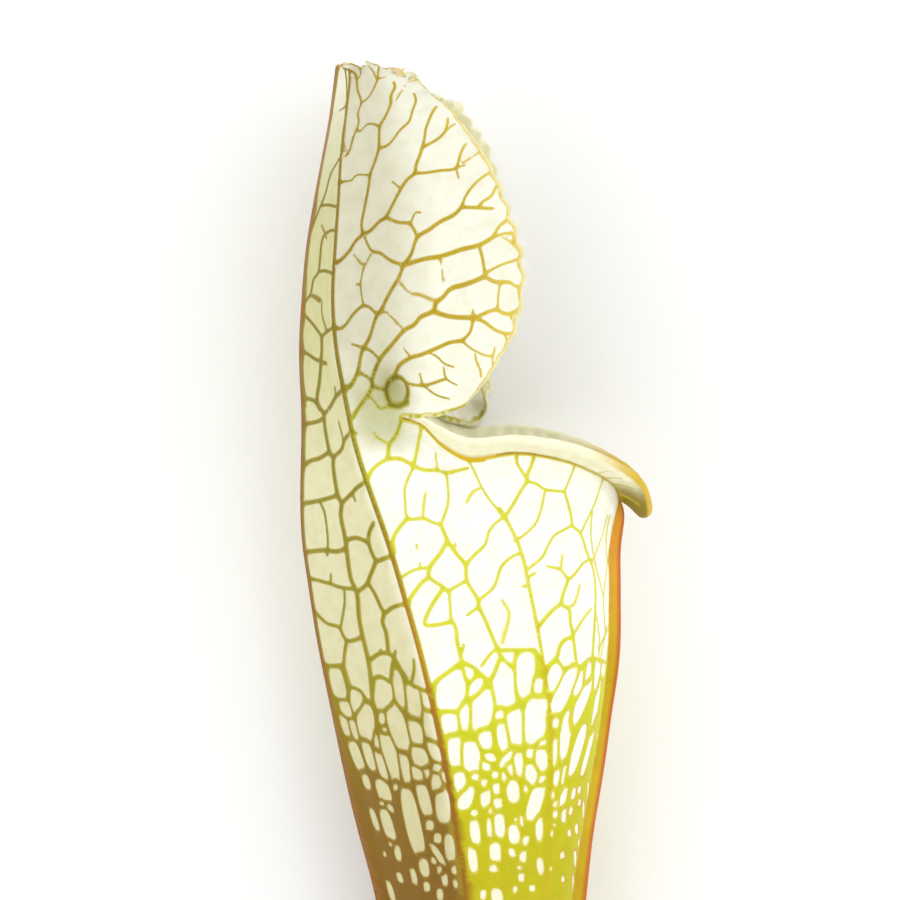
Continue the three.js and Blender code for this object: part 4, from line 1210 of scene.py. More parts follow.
def net_mesh(rng, net, outline, detail):
    """A patch of the map with the net's windows cut in, and how near each point is to a vein."""
    taken = np.zeros(FIELD_SIZE, bool)
    mark(taken, outline, 1)
    lines, edges, shoulders = window_lines(net, outline, taken, detail)
    mark(taken, lines, 0)
    i, j = map_spots(net["middles"])
    middles = net["middles"][inside_polygon(net["middles"], outline) & ~taken[j, i]]
    loose = [thinned(middles, np.zeros(FIELD_SIZE, bool), detail["middle"])]
    mark(taken, loose[-1], 1)
    if len(shoulders):
        loose.append(thinned(shoulders, taken, 0))
        mark(taken, loose[-1], 1)
    mark(taken, lines, 1)
    low, high = outline.min(axis=0), outline.max(axis=0)
    step = detail["fill"]
    x, y = np.meshgrid(np.arange(low[0], high[0], step), np.arange(low[1], high[1], step))
    fill = np.stack([x.ravel(), y.ravel()], axis=1) + rng.uniform(-0.3, 0.3, (x.size, 2)) * step
    loose.append(thinned(fill[inside_polygon(fill, outline)], taken, detail["gap"]))
    places, origins, triangles = triangulated(outline, lines, edges, np.concatenate(loose))
    near = np.clip(sampled(net["field"], places), 0, FAR)
    near[near > WINDOW_START] = np.maximum(near[near > WINDOW_START], OPEN_WINDOW)
    away = sampled(net["distance"], places)
    on_line = (origins >= len(outline)) & (origins < len(outline) + len(lines))
    near[on_line] = 1.0
    return places, origins, triangles, near, away, on_line


def corner_nets(net, places, triangles, near, on_line):
    """The net's value at each triangle's corners. Where a window ends it differs on the two sides."""
    in_window = sampled(net["field"], places[triangles].mean(axis=1)) > 1
    shallow = (near[triangles] < OPEN_WINDOW).all(axis=1)
    ends = np.where(in_window, np.where(shallow, OPEN_WINDOW, WINDOW_END), 1.0)
    return np.where(on_line[triangles], ends[:, None], near[triangles])


def colour(*shown):
    """Colours given in 0 to 255 as a screen shows them, as light."""
    shown = np.array(shown) / 255
    return np.where(shown <= 0.04045, shown / 12.92, ((shown + 0.055) / 1.055) ** 2.4)


def by_height(up, rows):
    """Colours that change with the height on the map, from rows of heights and their colours."""
    rows = np.array(rows, float)
    return between(up, rows[:, 0], colour(*rows[:, 1:]))


def blend(a, b, share):
    return a + (b - a) * np.asarray(share)[..., None]


# Colours: veins, the windows between them, and the stain round the windows
VEIN_COLOURS = [
    (0, 150, 150, 60), (60, 142, 142, 40), (150, 168, 160, 20),
    (215, 188, 178, 0), (236, 190, 182, 0), (250, 196, 194, 6),
    (264, 204, 210, 34), (284, 208, 212, 46), (302, 206, 206, 44),
    (308, 136, 126, 0), (320, 138, 112, 0), (360, 150, 126, 8),
]
# The back panel's vein colours: darker than the flank's, as painted shade, since the panel faces away from
# the key light.
SHADED_BACK_VEIN_COLOURS = [
    (0, 120, 110, 40), (150, 118, 94, 10), (231, 126, 88, 0),
    (250, 132, 102, 0), (266, 146, 134, 0), (305, 128, 116, 0),
    (335, 132, 114, 4), (360, 156, 128, 34),
]
WINDOW_COLOURS = [
    (0, 150, 156, 56), (200, 190, 186, 70), (222, 238, 230, 196),
    (240, 246, 241, 220), (262, 250, 249, 236), (298, 249, 249, 236),
    (312, 241, 240, 222), (345, 236, 235, 218), (360, 226, 226, 208),
]
# The back panel's window colours: darker and greener than the flank's, as painted shade.
SHADED_BACK_WINDOW_COLOURS = [
    (0, 120, 110, 40), (200, 150, 130, 50), (222, 208, 198, 146),
    (240, 204, 197, 150), (270, 214, 209, 168), (295, 218, 214, 172),
    (312, 202, 198, 144), (330, 198, 195, 142), (342, 208, 206, 168),
    (351, 224, 222, 198), (360, 230, 228, 208),
]
LOBE_VEIN_COLOUR = colour(180, 152, 0)
# The vein tips near the hood's margin. The far half's are paler: partly their own pale colour, partly painted
# light that lifts its shaded ruffles.
LOBE_TIP_COLOUR = {1: colour(214, 188, 70), -1: colour(240, 236, 196)}
LOBE_SHADE_COLOUR = colour(208, 205, 180)
# Painted shade in the hollow below the hood's neck: darker windows and veins.
NECK_SHADE_COLOUR = colour(176, 176, 116)
NECK_SHADE_VEIN_COLOUR = colour(122, 120, 0)
NECK_SHADE = {"column": 8.2, "columns": 2.2, "up": 304.6, "ups": 4.4, "share": 0.75}

# Where colours change, as bands of columns or of map heights, or distances from a vein's middle
BACK_BAND, HARD_EDGE_BAND = (RIDGE - 0.7, RIDGE + 0.5), (RIDGE, RIDGE + 1)
LOBE_FOOT = (MAP_NECK - 2, MAP_NECK + 9)
LOBE_VEIN_BAND, LOBE_TIP_BAND, LOBE_SHADE_BAND = (8.5, 16), (17, 21.5), (9.5, 16)
STAIN_BAND, KEEL_BAND, RIDGE_BAND = (LOBE - 4, LOBE), (0.12, 0.34), (0.1, 0.24)
HIGH_KEEL, HIGH_KEEL_ASIDE, HIGH_KEEL_SOFT = (290, 320), 0.25, 0.1
MARGIN_BAND, WING_BAND = (FRONT - 0.5, FRONT - 0.1), (FRONT - 0.7, FRONT - 0.1)
RIB_BAND, RIB_FOOT, RIB_HEAD = (0.14, 0.3), (215, 235), (268, 285)
CREASE_UPS, CREASE_BAND = (MAP_NECK - 1.5, MAP_NECK - 0.3), (NECK - 0.5, NECK + 1)

SOFT_EDGE_COLOUR = colour(234, 222, 120)
SOFT_EDGE_SHARE = [(0, 0.1), (215, 0.25), (262, 0.55), (300, 0.5), (312, 0.2), (360, 0.2)]
BACK_SOFTNESS = 0.3
# Painted shade in the dimple at the neck: darker veins and windows.
DIMPLE_SHADE_VEIN_COLOUR = colour(94, 92, 0)
DIMPLE_SHADE_WINDOW_COLOUR, DIMPLE_SHADE_SHARE = colour(152, 150, 76), 0.8
STAIN_COLOUR = colour(200, 124, 40)
STAIN_SHARE = [(0, 0.3), (215, 0.8), (245, 0.7), (262, 0.3), (280, 0)]
KEEL_COLOURS = [
    (0, 120, 100, 40), (150, 140, 92, 20), (250, 146, 92, 10),
    (300, 140, 86, 16), (325, 148, 88, 26), (345, 160, 92, 46),
    (360, 146, 104, 50),
]
KEEL_SHARE = [(0, 0.5), (150, 0.7), (230, 1), (360, 1)]
RIDGE_COLOURS = [
    (0, 140, 110, 30), (200, 150, 98, 0), (250, 144, 88, 0),
    (272, 176, 116, 4), (298, 124, 104, 0), (360, 136, 112, 4),
]
RIDGE_SHARE = [(0, 0.4), (200, 0.9), (285, 0.95), (305, 0.85), (320, 0.4), (350, 0.2)]
WING_COLOUR = colour(212, 180, 24)
RIB_COLOUR, RIB_SHARE = colour(198, 178, 6), 0.8
HIGH_WING_COLOUR = colour(226, 158, 46)
WING_EDGE_COLOUR = colour(200, 104, 40)
CREASE_COLOUR = colour(212, 176, 10)
BEAD_COLOUR = colour(250, 248, 216)
FRONT_BEAD_COLOUR = colour(212, 180, 48)
FLARE_COLOUR = colour(240, 237, 204)
# The front of the lip's underside: its own olive, darkened by painted shade, as it faces down.
UNDER_LIP_COLOUR = colour(140, 120, 4)
RADIAL_COLOUR = colour(186, 172, 60)
MARGIN_COLOURS = {
    1: [(0, 236, 228, 186), (353, 232, 222, 164), (359, 222, 200, 148)],
    -1: [(0, 240, 236, 200)],
}
CUT_COLOUR, CUT_RIM_COLOUR = colour(206, 208, 150), colour(120, 128, 60)

# How far the veins stand out, and how the windows swell between them
VEIN_RISE = [(0, 0.06), (150, 0.1), (231, 0.16), (270, 0.2), (360, 0.2)]
WINDOW_SWELL = [(0, 0.02), (231, 0.08), (280, 0.18), (300, 0.26), (360, 0.3)]
VEIN_SLOPE, SWELL_SLOPE = (0.35, 1.5), (0.3, 2.4)
INSIDE_SHARE = 0.5
SEED = 11
DETAIL_NEAR = {"loop": 0.5, "shoulder": 0.34, "middle": 1, "fill": 1.05, "gap": 2}
DETAIL_FAR = {"loop": 0.58, "shoulder": 0.36, "middle": 2, "fill": 1.25, "gap": 3}
DETAIL_INSIDE = {"loop": 0.8, "shoulder": 0, "middle": 3, "fill": 1.7, "gap": 4}


def lift_at(up, near, away):
    """The net's relief: its veins stand out and its windows swell."""
    rise = at_height(up, VEIN_RISE) * falling(near, *VEIN_SLOPE)
    swell = at_height(up, WINDOW_SWELL) * smoothstep(away, *SWELL_SLOPE)
    return rise + swell


def painted(near, vein, window, stain):
    """One row for each point: the net's value, then the three colours."""
    return np.concatenate([np.asarray(near, float)[:, None], vein, window, stain], axis=1)


def sheet_paint(side, on_hood, column, up, inside):
    back = falling(column, *BACK_BAND)
    lobe = smoothstep(up, *LOBE_FOOT) * (1 - back)
    vein = blend(by_height(up, VEIN_COLOURS), LOBE_VEIN_COLOUR, lobe * smoothstep(column, *LOBE_VEIN_BAND))
    vein = blend(vein, LOBE_TIP_COLOUR[side], lobe * smoothstep(column, *LOBE_TIP_BAND))
    # The back panel takes darker copies of the colours: painted shade.
    vein = blend(vein, by_height(up, SHADED_BACK_VEIN_COLOURS), back)
    window = blend(by_height(up, WINDOW_COLOURS), by_height(up, SHADED_BACK_WINDOW_COLOURS), back)
    window = blend(window, LOBE_SHADE_COLOUR, lobe * falling(column, *LOBE_SHADE_BAND))
    # Painted shade below the hood's neck: the windows and veins in the hollow there are darkened.
    if not inside:
        hollow = ((column - NECK_SHADE["column"]) / NECK_SHADE["columns"]) ** 4
        hollow = NECK_SHADE["share"] * np.exp(-hollow - ((up - NECK_SHADE["up"]) / NECK_SHADE["ups"]) ** 4)
        window = blend(window, NECK_SHADE_COLOUR, hollow)
        vein = blend(vein, NECK_SHADE_VEIN_COLOUR, hollow)
    # Painted shade in the dimple at the neck.
    dimple_shade = dimple_share(column, up)
    vein = blend(vein, DIMPLE_SHADE_VEIN_COLOUR, dimple_shade)
    window = blend(window, DIMPLE_SHADE_WINDOW_COLOUR, DIMPLE_SHADE_SHARE * dimple_shade)
    low_front = at_height(up, STAIN_SHARE) * smoothstep(column, *STAIN_BAND)
    hard = (1 - BACK_SOFTNESS) * falling(column, *HARD_EDGE_BAND)
    soft = at_height(up, SOFT_EDGE_SHARE) * (1 - hard)
    stain = blend(blend(vein, SOFT_EDGE_COLOUR, soft), STAIN_COLOUR, low_front)
    if not inside:
        high, (full, end) = smoothstep(up, *HIGH_KEEL), KEEL_BAND
        keel = falling(column - HIGH_KEEL_ASIDE * high, full, end + HIGH_KEEL_SOFT * high)
        keel = keel * at_height(up, KEEL_SHARE)
        vein = blend(vein, by_height(up, KEEL_COLOURS), keel)
        ridge = falling(np.abs(column - RIDGE), *RIDGE_BAND) * at_height(up, RIDGE_SHARE)
        vein = blend(vein, by_height(up, RIDGE_COLOURS), ridge)
        stain = blend(stain, vein, np.maximum(keel, ridge))
    if on_hood:
        margin = by_height(up, MARGIN_COLOURS[side])
        vein = blend(vein, margin, smoothstep(column, *MARGIN_BAND))
    else:
        rib = falling(np.abs(column - RIB), *RIB_BAND) * smoothstep(up, *RIB_FOOT) * falling(up, *RIB_HEAD)
        vein = blend(vein, RIB_COLOUR, RIB_SHARE * rib)
        vein = blend(vein, WING_COLOUR, smoothstep(column, *WING_BAND))
        crease = smoothstep(up, *CREASE_UPS) * smoothstep(column, *CREASE_BAND)
        vein = blend(vein, CREASE_COLOUR, crease)
    return np.concatenate([vein, window, stain], axis=1)


CUT_COLUMNS = np.linspace(MIDRIB, FRONT, 45)
NECK_COLUMNS = np.linspace(MIDRIB, NECK, 56)
SLIT_COLUMNS = np.linspace(NECK, FRONT, 126)
TRUNK_UPS = np.append(np.arange(0, MAP_NECK, 0.8), MAP_NECK)
FLOOR_UPS = np.append(HOLLOW_FLOOR, np.append(np.arange(HOLLOW_FLOOR + 1, MAP_NECK, 1.2), MAP_NECK))
HOOD_UPS = np.linspace(MAP_NECK, MAP_TOP, 76)


def with_edges(column, up):
    """An outline and whether each of its points is an outer edge, not where trunk and hood join."""
    joint = (up == MAP_NECK) & (column < NECK) & (column > MIDRIB)
    return column, up, ~joint


def trunk_outline(ups):
    """The trunk's outline as columns and map heights."""
    rim = np.concatenate([SLIT_COLUMNS[::-1], NECK_COLUMNS[::-1][1:]])
    side_ups = ups[1:-1]
    column = np.concatenate([CUT_COLUMNS, np.full(len(side_ups), FRONT), rim, np.full(len(side_ups), MIDRIB)])
    foot, top = np.full(len(CUT_COLUMNS), ups[0]), np.full(len(rim), MAP_NECK)
    return with_edges(column, np.concatenate([foot, side_ups, top, side_ups[::-1]]))


def hood_outline(margin):
    margin_columns = from_map(True, margin[:, 0], margin[:, 1])
    margin_columns[-1] = MIDRIB
    column = np.concatenate([NECK_COLUMNS, margin_columns[1:], np.full(len(HOOD_UPS) - 2, MIDRIB)])
    neck = np.full(len(NECK_COLUMNS), MAP_NECK)
    return with_edges(column, np.concatenate([neck, margin[1:, 1], HOOD_UPS[1:-1][::-1]]))


def add_patch(shell, rng, side, on_hood, outline, net, detail, inside):
    column, up, edge = outline
    flat = map_places(on_hood, column, up)
    places, origins, triangles, near, away, on_line = net_mesh(rng, net, flat, detail)
    columns = from_map(on_hood, places[:, 0], places[:, 1])
    ups = places[:, 1].copy()
    known = (origins >= 0) & (origins < len(column))
    columns[known], ups[known] = column[origins[known]], up[origins[known]]
    on_edge = np.zeros(len(places), bool)
    on_edge[known] = edge[origins[known]]
    near[on_edge], away[on_edge] = 0, 0
    lift = lift_at(ups, near, away)
    if inside:
        lift = (lift_at(ups, FAR, away) - lift_at(ups, near, 0.0)) * INSIDE_SHARE
    points = skin(side, on_hood, columns, ups, inside, lift)
    nets = corner_nets(net, places, triangles, near, on_line)
    paint = sheet_paint(side, on_hood, columns, ups, inside)
    shell.add(side, points, triangles, nets, paint, flipped=inside)


def edge_points(side, on_hood, column, up, inside):
    """Points of the sheet's outside or inside on an edge, where the net's value is 0."""
    lift = lift_at(up, 0.0, 0.0)
    return skin(side, on_hood, column, up, inside, -lift * INSIDE_SHARE if inside else lift)


def add_hood_edge(shell, side, margin, outline):
    """The hood's free edge, from its outside round to its inside."""
    column, up, _ = outline
    start = len(NECK_COLUMNS) - 1
    column, up = column[start:start + len(margin)], up[start:start + len(margin)]
    outer = edge_points(side, True, column, up, False)
    inner = edge_points(side, True, column, up, True)
    across, upward, _ = directions(side, True, column, up)
    way = -left_of(margin)
    away = unit(across * way[:, :1] + upward * way[:, 1:])
    away[-1] = upward[-1]
    open_up = smoothstep(path_lengths(margin), 0, EDGE_OPENING)[:, None]
    middle = (outer + inner) / 2
    rows = [outer]
    for turn, shut in ((math.pi / 4, outer), (0.0, middle), (-math.pi / 4, inner)):
        full = middle + (outer - inner) / 2 * math.sin(turn) + away * EDGE_ROUND * open_up * math.cos(turn)
        rows.append(shut + (full - shut) * open_up)
    rows.append(inner)
    grid = np.stack(rows, axis=1)
    grid[-1, :, 2] = 0
    shell.plain_grid(side, grid, by_height(up, MARGIN_COLOURS[side])[:, None])


FLARE_SHARES = (0.12, 0.3, 0.5, 0.7, 0.88)
BEAD_STEPS = 12
UNDER_ROWS = 4
RADIAL_LENGTH, RADIAL_SPREAD = 3.0, 2.6
RADIAL_SWAY, RADIAL_SWAY_LENGTH = 0.8, 2.9
FOLD_DEPTH = 0.12
FRONT_BEAD_BAND, UNDER_BAND = (LOBE + 0.4, FRONT - 1.2), (LOBE + 2.4, FRONT - 0.5)


def add_lip(shell, side):
    """The lip, from the crown's outside along the flare, round the bead and back to its inside."""
    column = SLIT_COLUMNS
    up = np.full(len(column), MAP_NECK)
    outer = edge_points(side, False, column, up, False)
    inner = edge_points(side, False, column, up, True)
    flare, bead, rise = through(LIP[:, 0], LIP[:, 1:], column).T
    root = (outer + inner) / 2
    _, _, out = directions(side, False, column, up)
    away = unit(out * np.array([1, 0, 1]))
    turn_cos, turn_sin = np.cos(np.radians(rise))[:, None], np.sin(np.radians(rise))[:, None]
    reach = away * turn_cos + np.array([0, 1, 0]) * turn_sin
    under = away * turn_sin - np.array([0, 1, 0]) * turn_cos
    thick = WALL_TUBE / 2
    s = path_lengths(root)
    phase = side * falling(column, LOBE, FRONT)
    turn = np.pi * s / RADIAL_LENGTH + RADIAL_SWAY * np.sin(s / RADIAL_SWAY_LENGTH + phase)
    radial, fold = np.abs(np.sin(turn)) * RADIAL_SPREAD, FOLD_DEPTH * np.cos(2 * turn)
    rows, nets, veins = [outer], [np.zeros(len(column))], [np.tile(CREASE_COLOUR, (len(column), 1))]

    def add_row(ahead, down, net, tint):
        rows.append(root + reach * ahead[:, None] + under * down[:, None])
        nets.append(net)
        veins.append(tint)

    open_up = smoothstep(column, NECK, NECK + 1)
    roll = BEAD_ROLL * (bead - thick) * smoothstep(column, LOBE, FRONT)
    radial = radial + 4 * falling(column, LOBE + 0.5, LOBE + 2)
    lines = np.tile(RADIAL_COLOUR, (len(column), 1))
    flat = flare + bead * math.cos(BEAD_TURN)
    deep, high = roll + bead * math.sin(BEAD_TURN), roll - bead * math.sin(BEAD_TURN)
    for share in FLARE_SHARES:
        net = np.minimum(radial * (0.8 + share), 4.2 * share)
        tint = blend(CREASE_COLOUR, lines, min(2 * share, 1))
        add_row(share * flat, thick + (deep - thick) * share ** 2 + fold * share * open_up, net, tint)
    for k in range(BEAD_STEPS + 1):
        angle = BEAD_TURN - 2 * BEAD_TURN * k / BEAD_STEPS
        net = np.maximum(radial * 1.6, 4 * smoothstep(k / BEAD_STEPS, 0.0, 0.3))
        down = roll + bead * math.sin(angle) + fold * open_up * 0.5
        add_row(flare + bead * math.cos(angle), down, net, lines)
    for share in FLARE_SHARES[::-1]:
        down = -thick + (high + thick) * share ** 2 + fold * share * open_up
        add_row(share * flat, down, radial * (1.2 + share), lines)
    rows.append(inner)
    nets.append(np.zeros(len(column)))
    veins.append(np.tile(CREASE_COLOUR, (len(column), 1)))
    grid = np.stack(rows, axis=1)
    bead_start = 1 + len(FLARE_SHARES)
    bead_end = bead_start + BEAD_STEPS + 1
    grid[0, 1:bead_start] = outer[0]
    grid[0, bead_start:bead_end] = root[0]
    grid[0, bead_end:] = inner[0]
    grid[-1, :, 2] = 0
    vein = np.stack(veins, axis=1).reshape(-1, 3)
    body = np.tile(BEAD_COLOUR, (*grid.shape[:2], 1))
    to_front, under = (smoothstep(column, *band)[:, None] for band in (FRONT_BEAD_BAND, UNDER_BAND))
    body[:, bead_start:bead_end] = blend(BEAD_COLOUR, FRONT_BEAD_COLOUR, to_front)
    # The flare's colour darkens to olive under the lip's front: partly its own colour, partly painted shade.
    body[:, :bead_start + UNDER_ROWS] = blend(FLARE_COLOUR, UNDER_LIP_COLOUR, under)
    window = body.reshape(-1, 3)
    paint = painted(np.stack(nets, axis=1).ravel(), vein, window, (vein + window) / 2)
    shell.grid(side, grid, paint, flipped=True)


WING_SHARES = (0.0, 0.2, 0.45, 0.7, 0.88, 1.0)
WING_RIPPLE, WING_SWAY, SWAY_FOOT = 0.12, 0.35, (4, 30)
HIGH_WING, WING_EDGE_BAND = (262, 292), (0.7, 1.0)
WING_BODY_SHARE = [(0, 0.2), (150, 0.55), (225, 1), (300, 1)]
WING_EDGE_SHARE = [(0, 0.4), (150, 0.7), (225, 1), (300, 1)]
CUT_SHARES, CUT_SINK, CUT_RIM = (0.0, 0.08, 0.2, 0.4, 0.6, 0.8, 1.0), 0.35, 0.16
FLOOR_SHARES = (0.0, 0.35, 0.7, 1.0)


def add_wing(shell, side):
    """The wing's half, from the tube's front to its tip."""
    up = TRUNK_UPS
    front = np.full(len(up), FRONT)
    root = edge_points(side, False, front, up, False)
    sheet = sheet_at(side, False, front, up)
    fade = wing_fade(up)
    wing = section_at(np.minimum(up, TUBE_TOP))[4]
    forward = WING_RIPPLE * np.sin(up / 3.7) * np.sin(up / 11.0 + 1) * fade
    sway = WING_SWAY * np.sin(up / 5.1 + 0.6 * np.sin(up / 17.0)) * fade * smoothstep(up, *SWAY_FOOT)
    tip_line = sheet + np.stack([fade * wing + forward, 0 * up, 0 * up], axis=1)
    shoulder = sheet + np.stack([fade * (wing - WING_TIP_ROUND) + forward, 0 * up, fade * WING_TIP], axis=1)
    body = blend(WING_COLOUR, HIGH_WING_COLOUR, smoothstep(up, *HIGH_WING))
    body = blend(by_height(up, VEIN_COLOURS), body, at_height(up, WING_BODY_SHARE))
    rows, tints = [], []
    for share in WING_SHARES:
        at = root + (shoulder - root) * share
        at[:, 2] += side * sway * share ** 2
        rows.append(at)
        orange = smoothstep(share, *WING_EDGE_BAND) * at_height(up, WING_EDGE_SHARE)
        tints.append(blend(body, WING_EDGE_COLOUR, orange))
    tip_line[:, 2] = side * sway
    grid = np.stack([*rows, tip_line], axis=1)
    grid[-1] = root[-1]
    shell.plain_grid(side, grid, np.stack([*tints, tints[-1]], axis=1))


def rings(line, height, shares, sink=0.0):
    """Rings from a line in to its middle at a height on the middle plane, sunk by the way."""
    middle = np.array([(line[0, 0] + line[-1, 0]) / 2, height, 0])
    return np.stack([line + (middle - line) * s + np.array([0, sink * s * (2 - s), 0]) for s in shares])


def add_ends(shell, side):
    """The cut end of the stalk, and the floor of the hollow."""
    zero = np.zeros(len(CUT_COLUMNS))
    line = edge_points(side, False, CUT_COLUMNS, zero, False)
    front = sheet_at(side, False, np.array([FRONT]), np.zeros(1))[0]
    wing = TUBE[0, 7]
    shoulder = front + np.array([wing - WING_TIP_ROUND, 0, WING_TIP])
    steps = np.array(WING_SHARES[1:])[:, None]
    line = np.concatenate([line, line[-1] + (shoulder - line[-1]) * steps, [front + np.array([wing, 0, 0])]])
    tint = blend(CUT_COLOUR, CUT_RIM_COLOUR, falling(np.array(CUT_SHARES), 0.0, CUT_RIM))[:, None]
    shell.plain_grid(side, rings(line, 0, CUT_SHARES, CUT_SINK)[::-1], tint[::-1])

    line = edge_points(side, False, CUT_COLUMNS, zero + HOLLOW_FLOOR, True)
    tint = by_height(np.array([HOLLOW_FLOOR]), VEIN_COLOURS)
    shell.plain_grid(side, rings(line, HOLLOW_FLOOR - FLOOR_DIP, FLOOR_SHARES)[::-1], tint, flipped=True)


def make_leaf():
    rng = np.random.default_rng(SEED)
    shell = Shell()
    near_net = traced_net(rng)
    for side in (1, -1):
        margin = hood_margin(side)
        net = closed_net(near_net if side > 0 else bent_net(near_net), edge_veins(margin))
        hood = hood_outline(margin)
        outside = DETAIL_NEAR if side > 0 else DETAIL_FAR
        for inside, ups, detail in ((False, TRUNK_UPS, outside), (True, FLOOR_UPS, DETAIL_INSIDE)):
            add_patch(shell, rng, side, False, trunk_outline(ups), net, detail, inside)
            add_patch(shell, rng, side, True, hood, net, detail, inside)
        add_hood_edge(shell, side, margin, hood)
        add_lip(shell, side)
        add_wing(shell, side)
        add_ends(shell, side)
    return shell


PRESS_DEPTH = 0.003


def kept_inside(places, box):
    """Places pressed in a little where they would stand outside a box."""
    places = places.copy()
    for axis in range(3):
        for sign, limit in ((-1, -box[0][axis]), (1, box[1][axis])):
            beyond = sign * places[:, axis] - limit + PRESS_DEPTH
            most = beyond.max()
            if most > PRESS_DEPTH:
                places[:, axis] -= sign * np.maximum(beyond, 0) * (1 - PRESS_DEPTH / most)
    return places


def new_object(name, data):
    made = bpy.data.objects.new(name, data)
    bpy.context.scene.collection.objects.link(made)
    return made


PAINTS = ("vein", "window", "stain")
JOIN_DISTANCE, SHORTEST_EDGE = 2e-6, 1e-7


def mesh_object(name, shell, material):
    """The collected patches as one object, joined where they meet."""
    mesh = bpy.data.meshes.new(name)
    places = kept_inside(np.concatenate(shell.places), cad_box)
    mesh.from_pydata(places.tolist(), [], np.concatenate(shell.faces).tolist())
    nets = mesh.attributes.new("net", "FLOAT", "CORNER")
    nets.data.foreach_set("value", np.concatenate(shell.nets).ravel().astype(np.float32))
    paint = np.concatenate(shell.paints)
    for k, part in enumerate(PAINTS):
        rgba = np.ones((len(paint), 4), np.float32)
        rgba[:, :3] = paint[:, 3 * k:3 * k + 3]
        mesh.attributes.new(part, "FLOAT_COLOR", "POINT").data.foreach_set("color", rgba.ravel())
    work = bmesh.new()
    work.from_mesh(mesh)
    bmesh.ops.remove_doubles(work, verts=work.verts, dist=JOIN_DISTANCE)
    bmesh.ops.dissolve_degenerate(work, edges=work.edges, dist=SHORTEST_EDGE)
    for face in work.faces:
        face.smooth = True
    work.to_mesh(mesh)
    work.free()
    mesh.materials.append(material)
    return new_object(name, mesh)


# Materials, with the net's values where the vein's colour turns into the stain's and the window's
STAIN_RAMP, WINDOW_RAMP = (0.3, 0.95), (0.95, 1.7)
MOTTLE_RAMP, MOTTLE_COLOUR = (0.35, 0.75), (0.93, 0.92, 0.86, 1)


def fill_in(node, **values):
    """Gives a node's inputs their values, by their names with spaces for underscores."""
    for name, value in values.items():
        node.inputs[name.replace("_", " ")].default_value = value
    return node


def new_material(name, **values):
    """A material with one shader, as itself, its nodes, its links and the shader."""
    material = bpy.data.materials.new(name)
    material.use_nodes = True
    nodes, links = material.node_tree.nodes, material.node_tree.links
    nodes.clear()
    output = nodes.new("ShaderNodeOutputMaterial")
    shader = fill_in(nodes.new("ShaderNodeBsdfPrincipled"), **values)
    links.new(shader.outputs["BSDF"], output.inputs["Surface"])
    return material, nodes, links, shader


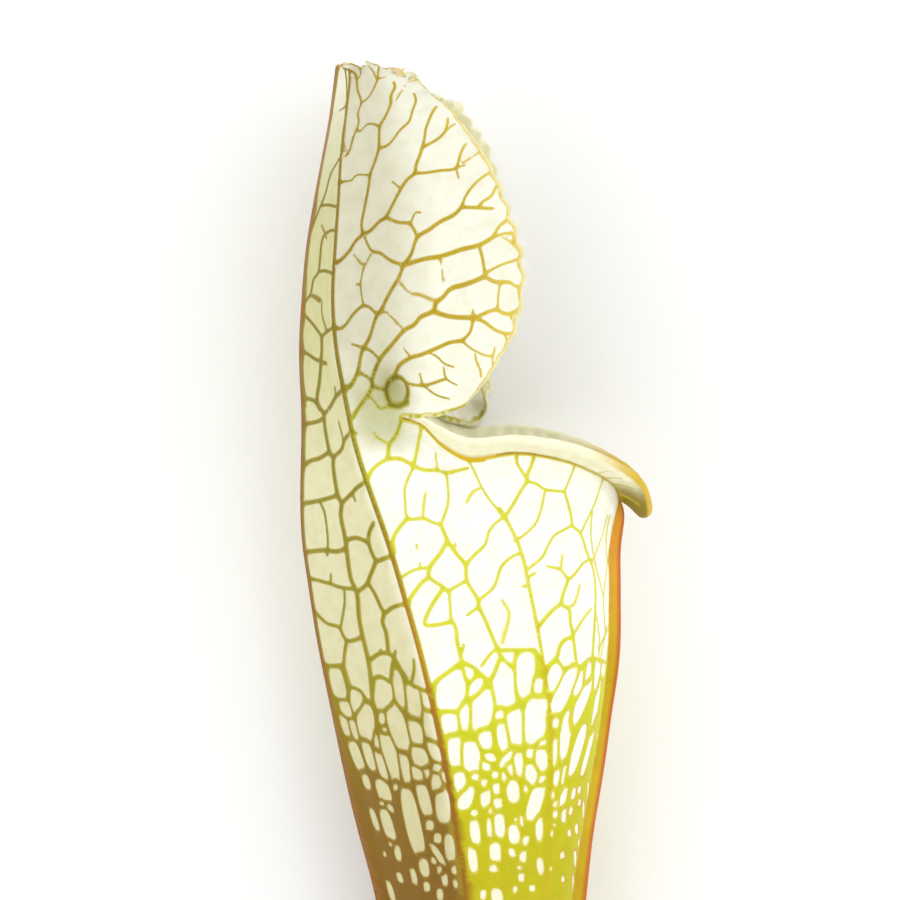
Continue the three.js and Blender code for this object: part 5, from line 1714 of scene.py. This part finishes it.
def leaf_material():
    material, nodes, links, shader = new_material(
        "leaf_skin", Roughness=0.5, Specular_IOR_Level=0.25, Subsurface_Weight=0.15,
        Subsurface_Radius=(1.0, 0.9, 0.6), Subsurface_Scale=0.0003)

    def attribute(name, output):
        node = nodes.new("ShaderNodeAttribute")
        node.attribute_name = name
        return node.outputs[output]

    def ramp(value, low, high):
        node = fill_in(nodes.new("ShaderNodeMapRange"), From_Min=low, From_Max=high)
        node.interpolation_type = "SMOOTHSTEP"
        links.new(value, node.inputs["Value"])
        return node.outputs["Result"]

    def mix(share, a, b, kind="MIX"):
        node = nodes.new("ShaderNodeMix")
        node.data_type = "RGBA"
        node.blend_type = kind
        for socket, value in ((node.inputs["Factor"], share), (node.inputs[6], a), (node.inputs[7], b)):
            if isinstance(value, (float, tuple)):
                socket.default_value = value
            else:
                links.new(value, socket)
        return node.outputs[2]

    def noise(scale, detail):
        place = nodes.new("ShaderNodeTexCoord")
        node = fill_in(nodes.new("ShaderNodeTexNoise"), Scale=scale, Detail=detail)
        links.new(place.outputs["Object"], node.inputs["Vector"])
        return node.outputs["Fac"]

    near = attribute("net", "Fac")
    vein, window, stain = (attribute(name, "Color") for name in PAINTS)
    line = mix(ramp(near, *STAIN_RAMP), vein, stain)
    base = mix(ramp(near, *WINDOW_RAMP), line, window)
    mottled = mix(ramp(noise(420.0, 4.0), *MOTTLE_RAMP), (1, 1, 1, 1), MOTTLE_COLOUR)
    links.new(mix(1.0, base, mottled, "MULTIPLY"), shader.inputs["Base Color"])

    grain = fill_in(nodes.new("ShaderNodeBump"), Strength=0.12, Distance=0.0002)
    links.new(noise(1600.0, 3.0), grain.inputs["Height"])
    links.new(grain.outputs["Normal"], shader.inputs["Normal"])
    return material


# The stage: a plain pale floor, soft studio light and the camera
FLOOR_SIZE, FLOOR_COLOUR = 6.0, (0.96, 0.96, 0.96, 1)
LIGHT_SIZE, LIGHT_AIM = 2.2, Vector((0, 0.1, 0))
LIGHTS = [("key", (1.3, 0.3, 1.25), 8), ("fill", (-1.4, 0.2, 1.1), 7)]
CLIP_START, CLIP_END = 0.05, 20


def make_floor():
    mesh = bpy.data.meshes.new("floor")
    corners = [(x * FLOOR_SIZE, y * FLOOR_SIZE, 0) for x, y in ((-1, -1), (1, -1), (1, 1), (-1, 1))]
    mesh.from_pydata(corners, [], [(0, 1, 2, 3)])
    mesh.materials.append(new_material("floor_paint", Base_Color=FLOOR_COLOUR, Roughness=0.9)[0])
    floor = new_object("floor", mesh)


def make_lights():
    for name, place, power in LIGHTS:
        light = bpy.data.lights.new(name, "AREA")
        light.shape = "SQUARE"
        light.size = LIGHT_SIZE
        light.energy = power
        holder = new_object(name, light)
        holder.location = place
        holder.rotation_euler = (LIGHT_AIM - Vector(place)).to_track_quat("-Z", "Y").to_euler()
    world = bpy.data.worlds.new("studio")
    world.use_nodes = True
    fill_in(world.node_tree.nodes["Background"], Color=(1, 1, 1, 1), Strength=1.0)
    bpy.context.scene.world = world
    bpy.context.scene.view_settings.view_transform = "Standard"


def make_camera():
    data = bpy.data.cameras.new("camera")
    data.lens = LENS
    data.sensor_width = SENSOR
    data.clip_start = CLIP_START
    data.clip_end = CLIP_END
    camera = new_object("camera", data)
    axes = Matrix([CAMERA_RIGHT, CAMERA_UP, -LOOK]).transposed().to_4x4()
    axes.translation = Vector(CAMERA_PLACE)
    camera.matrix_world = axes
    bpy.context.scene.camera = camera


make_camera()
make_lights()
make_floor()
leaf = mesh_object("leaf", make_leaf(), leaf_material())
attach(leaf, "root")
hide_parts("pitcher_leaf")
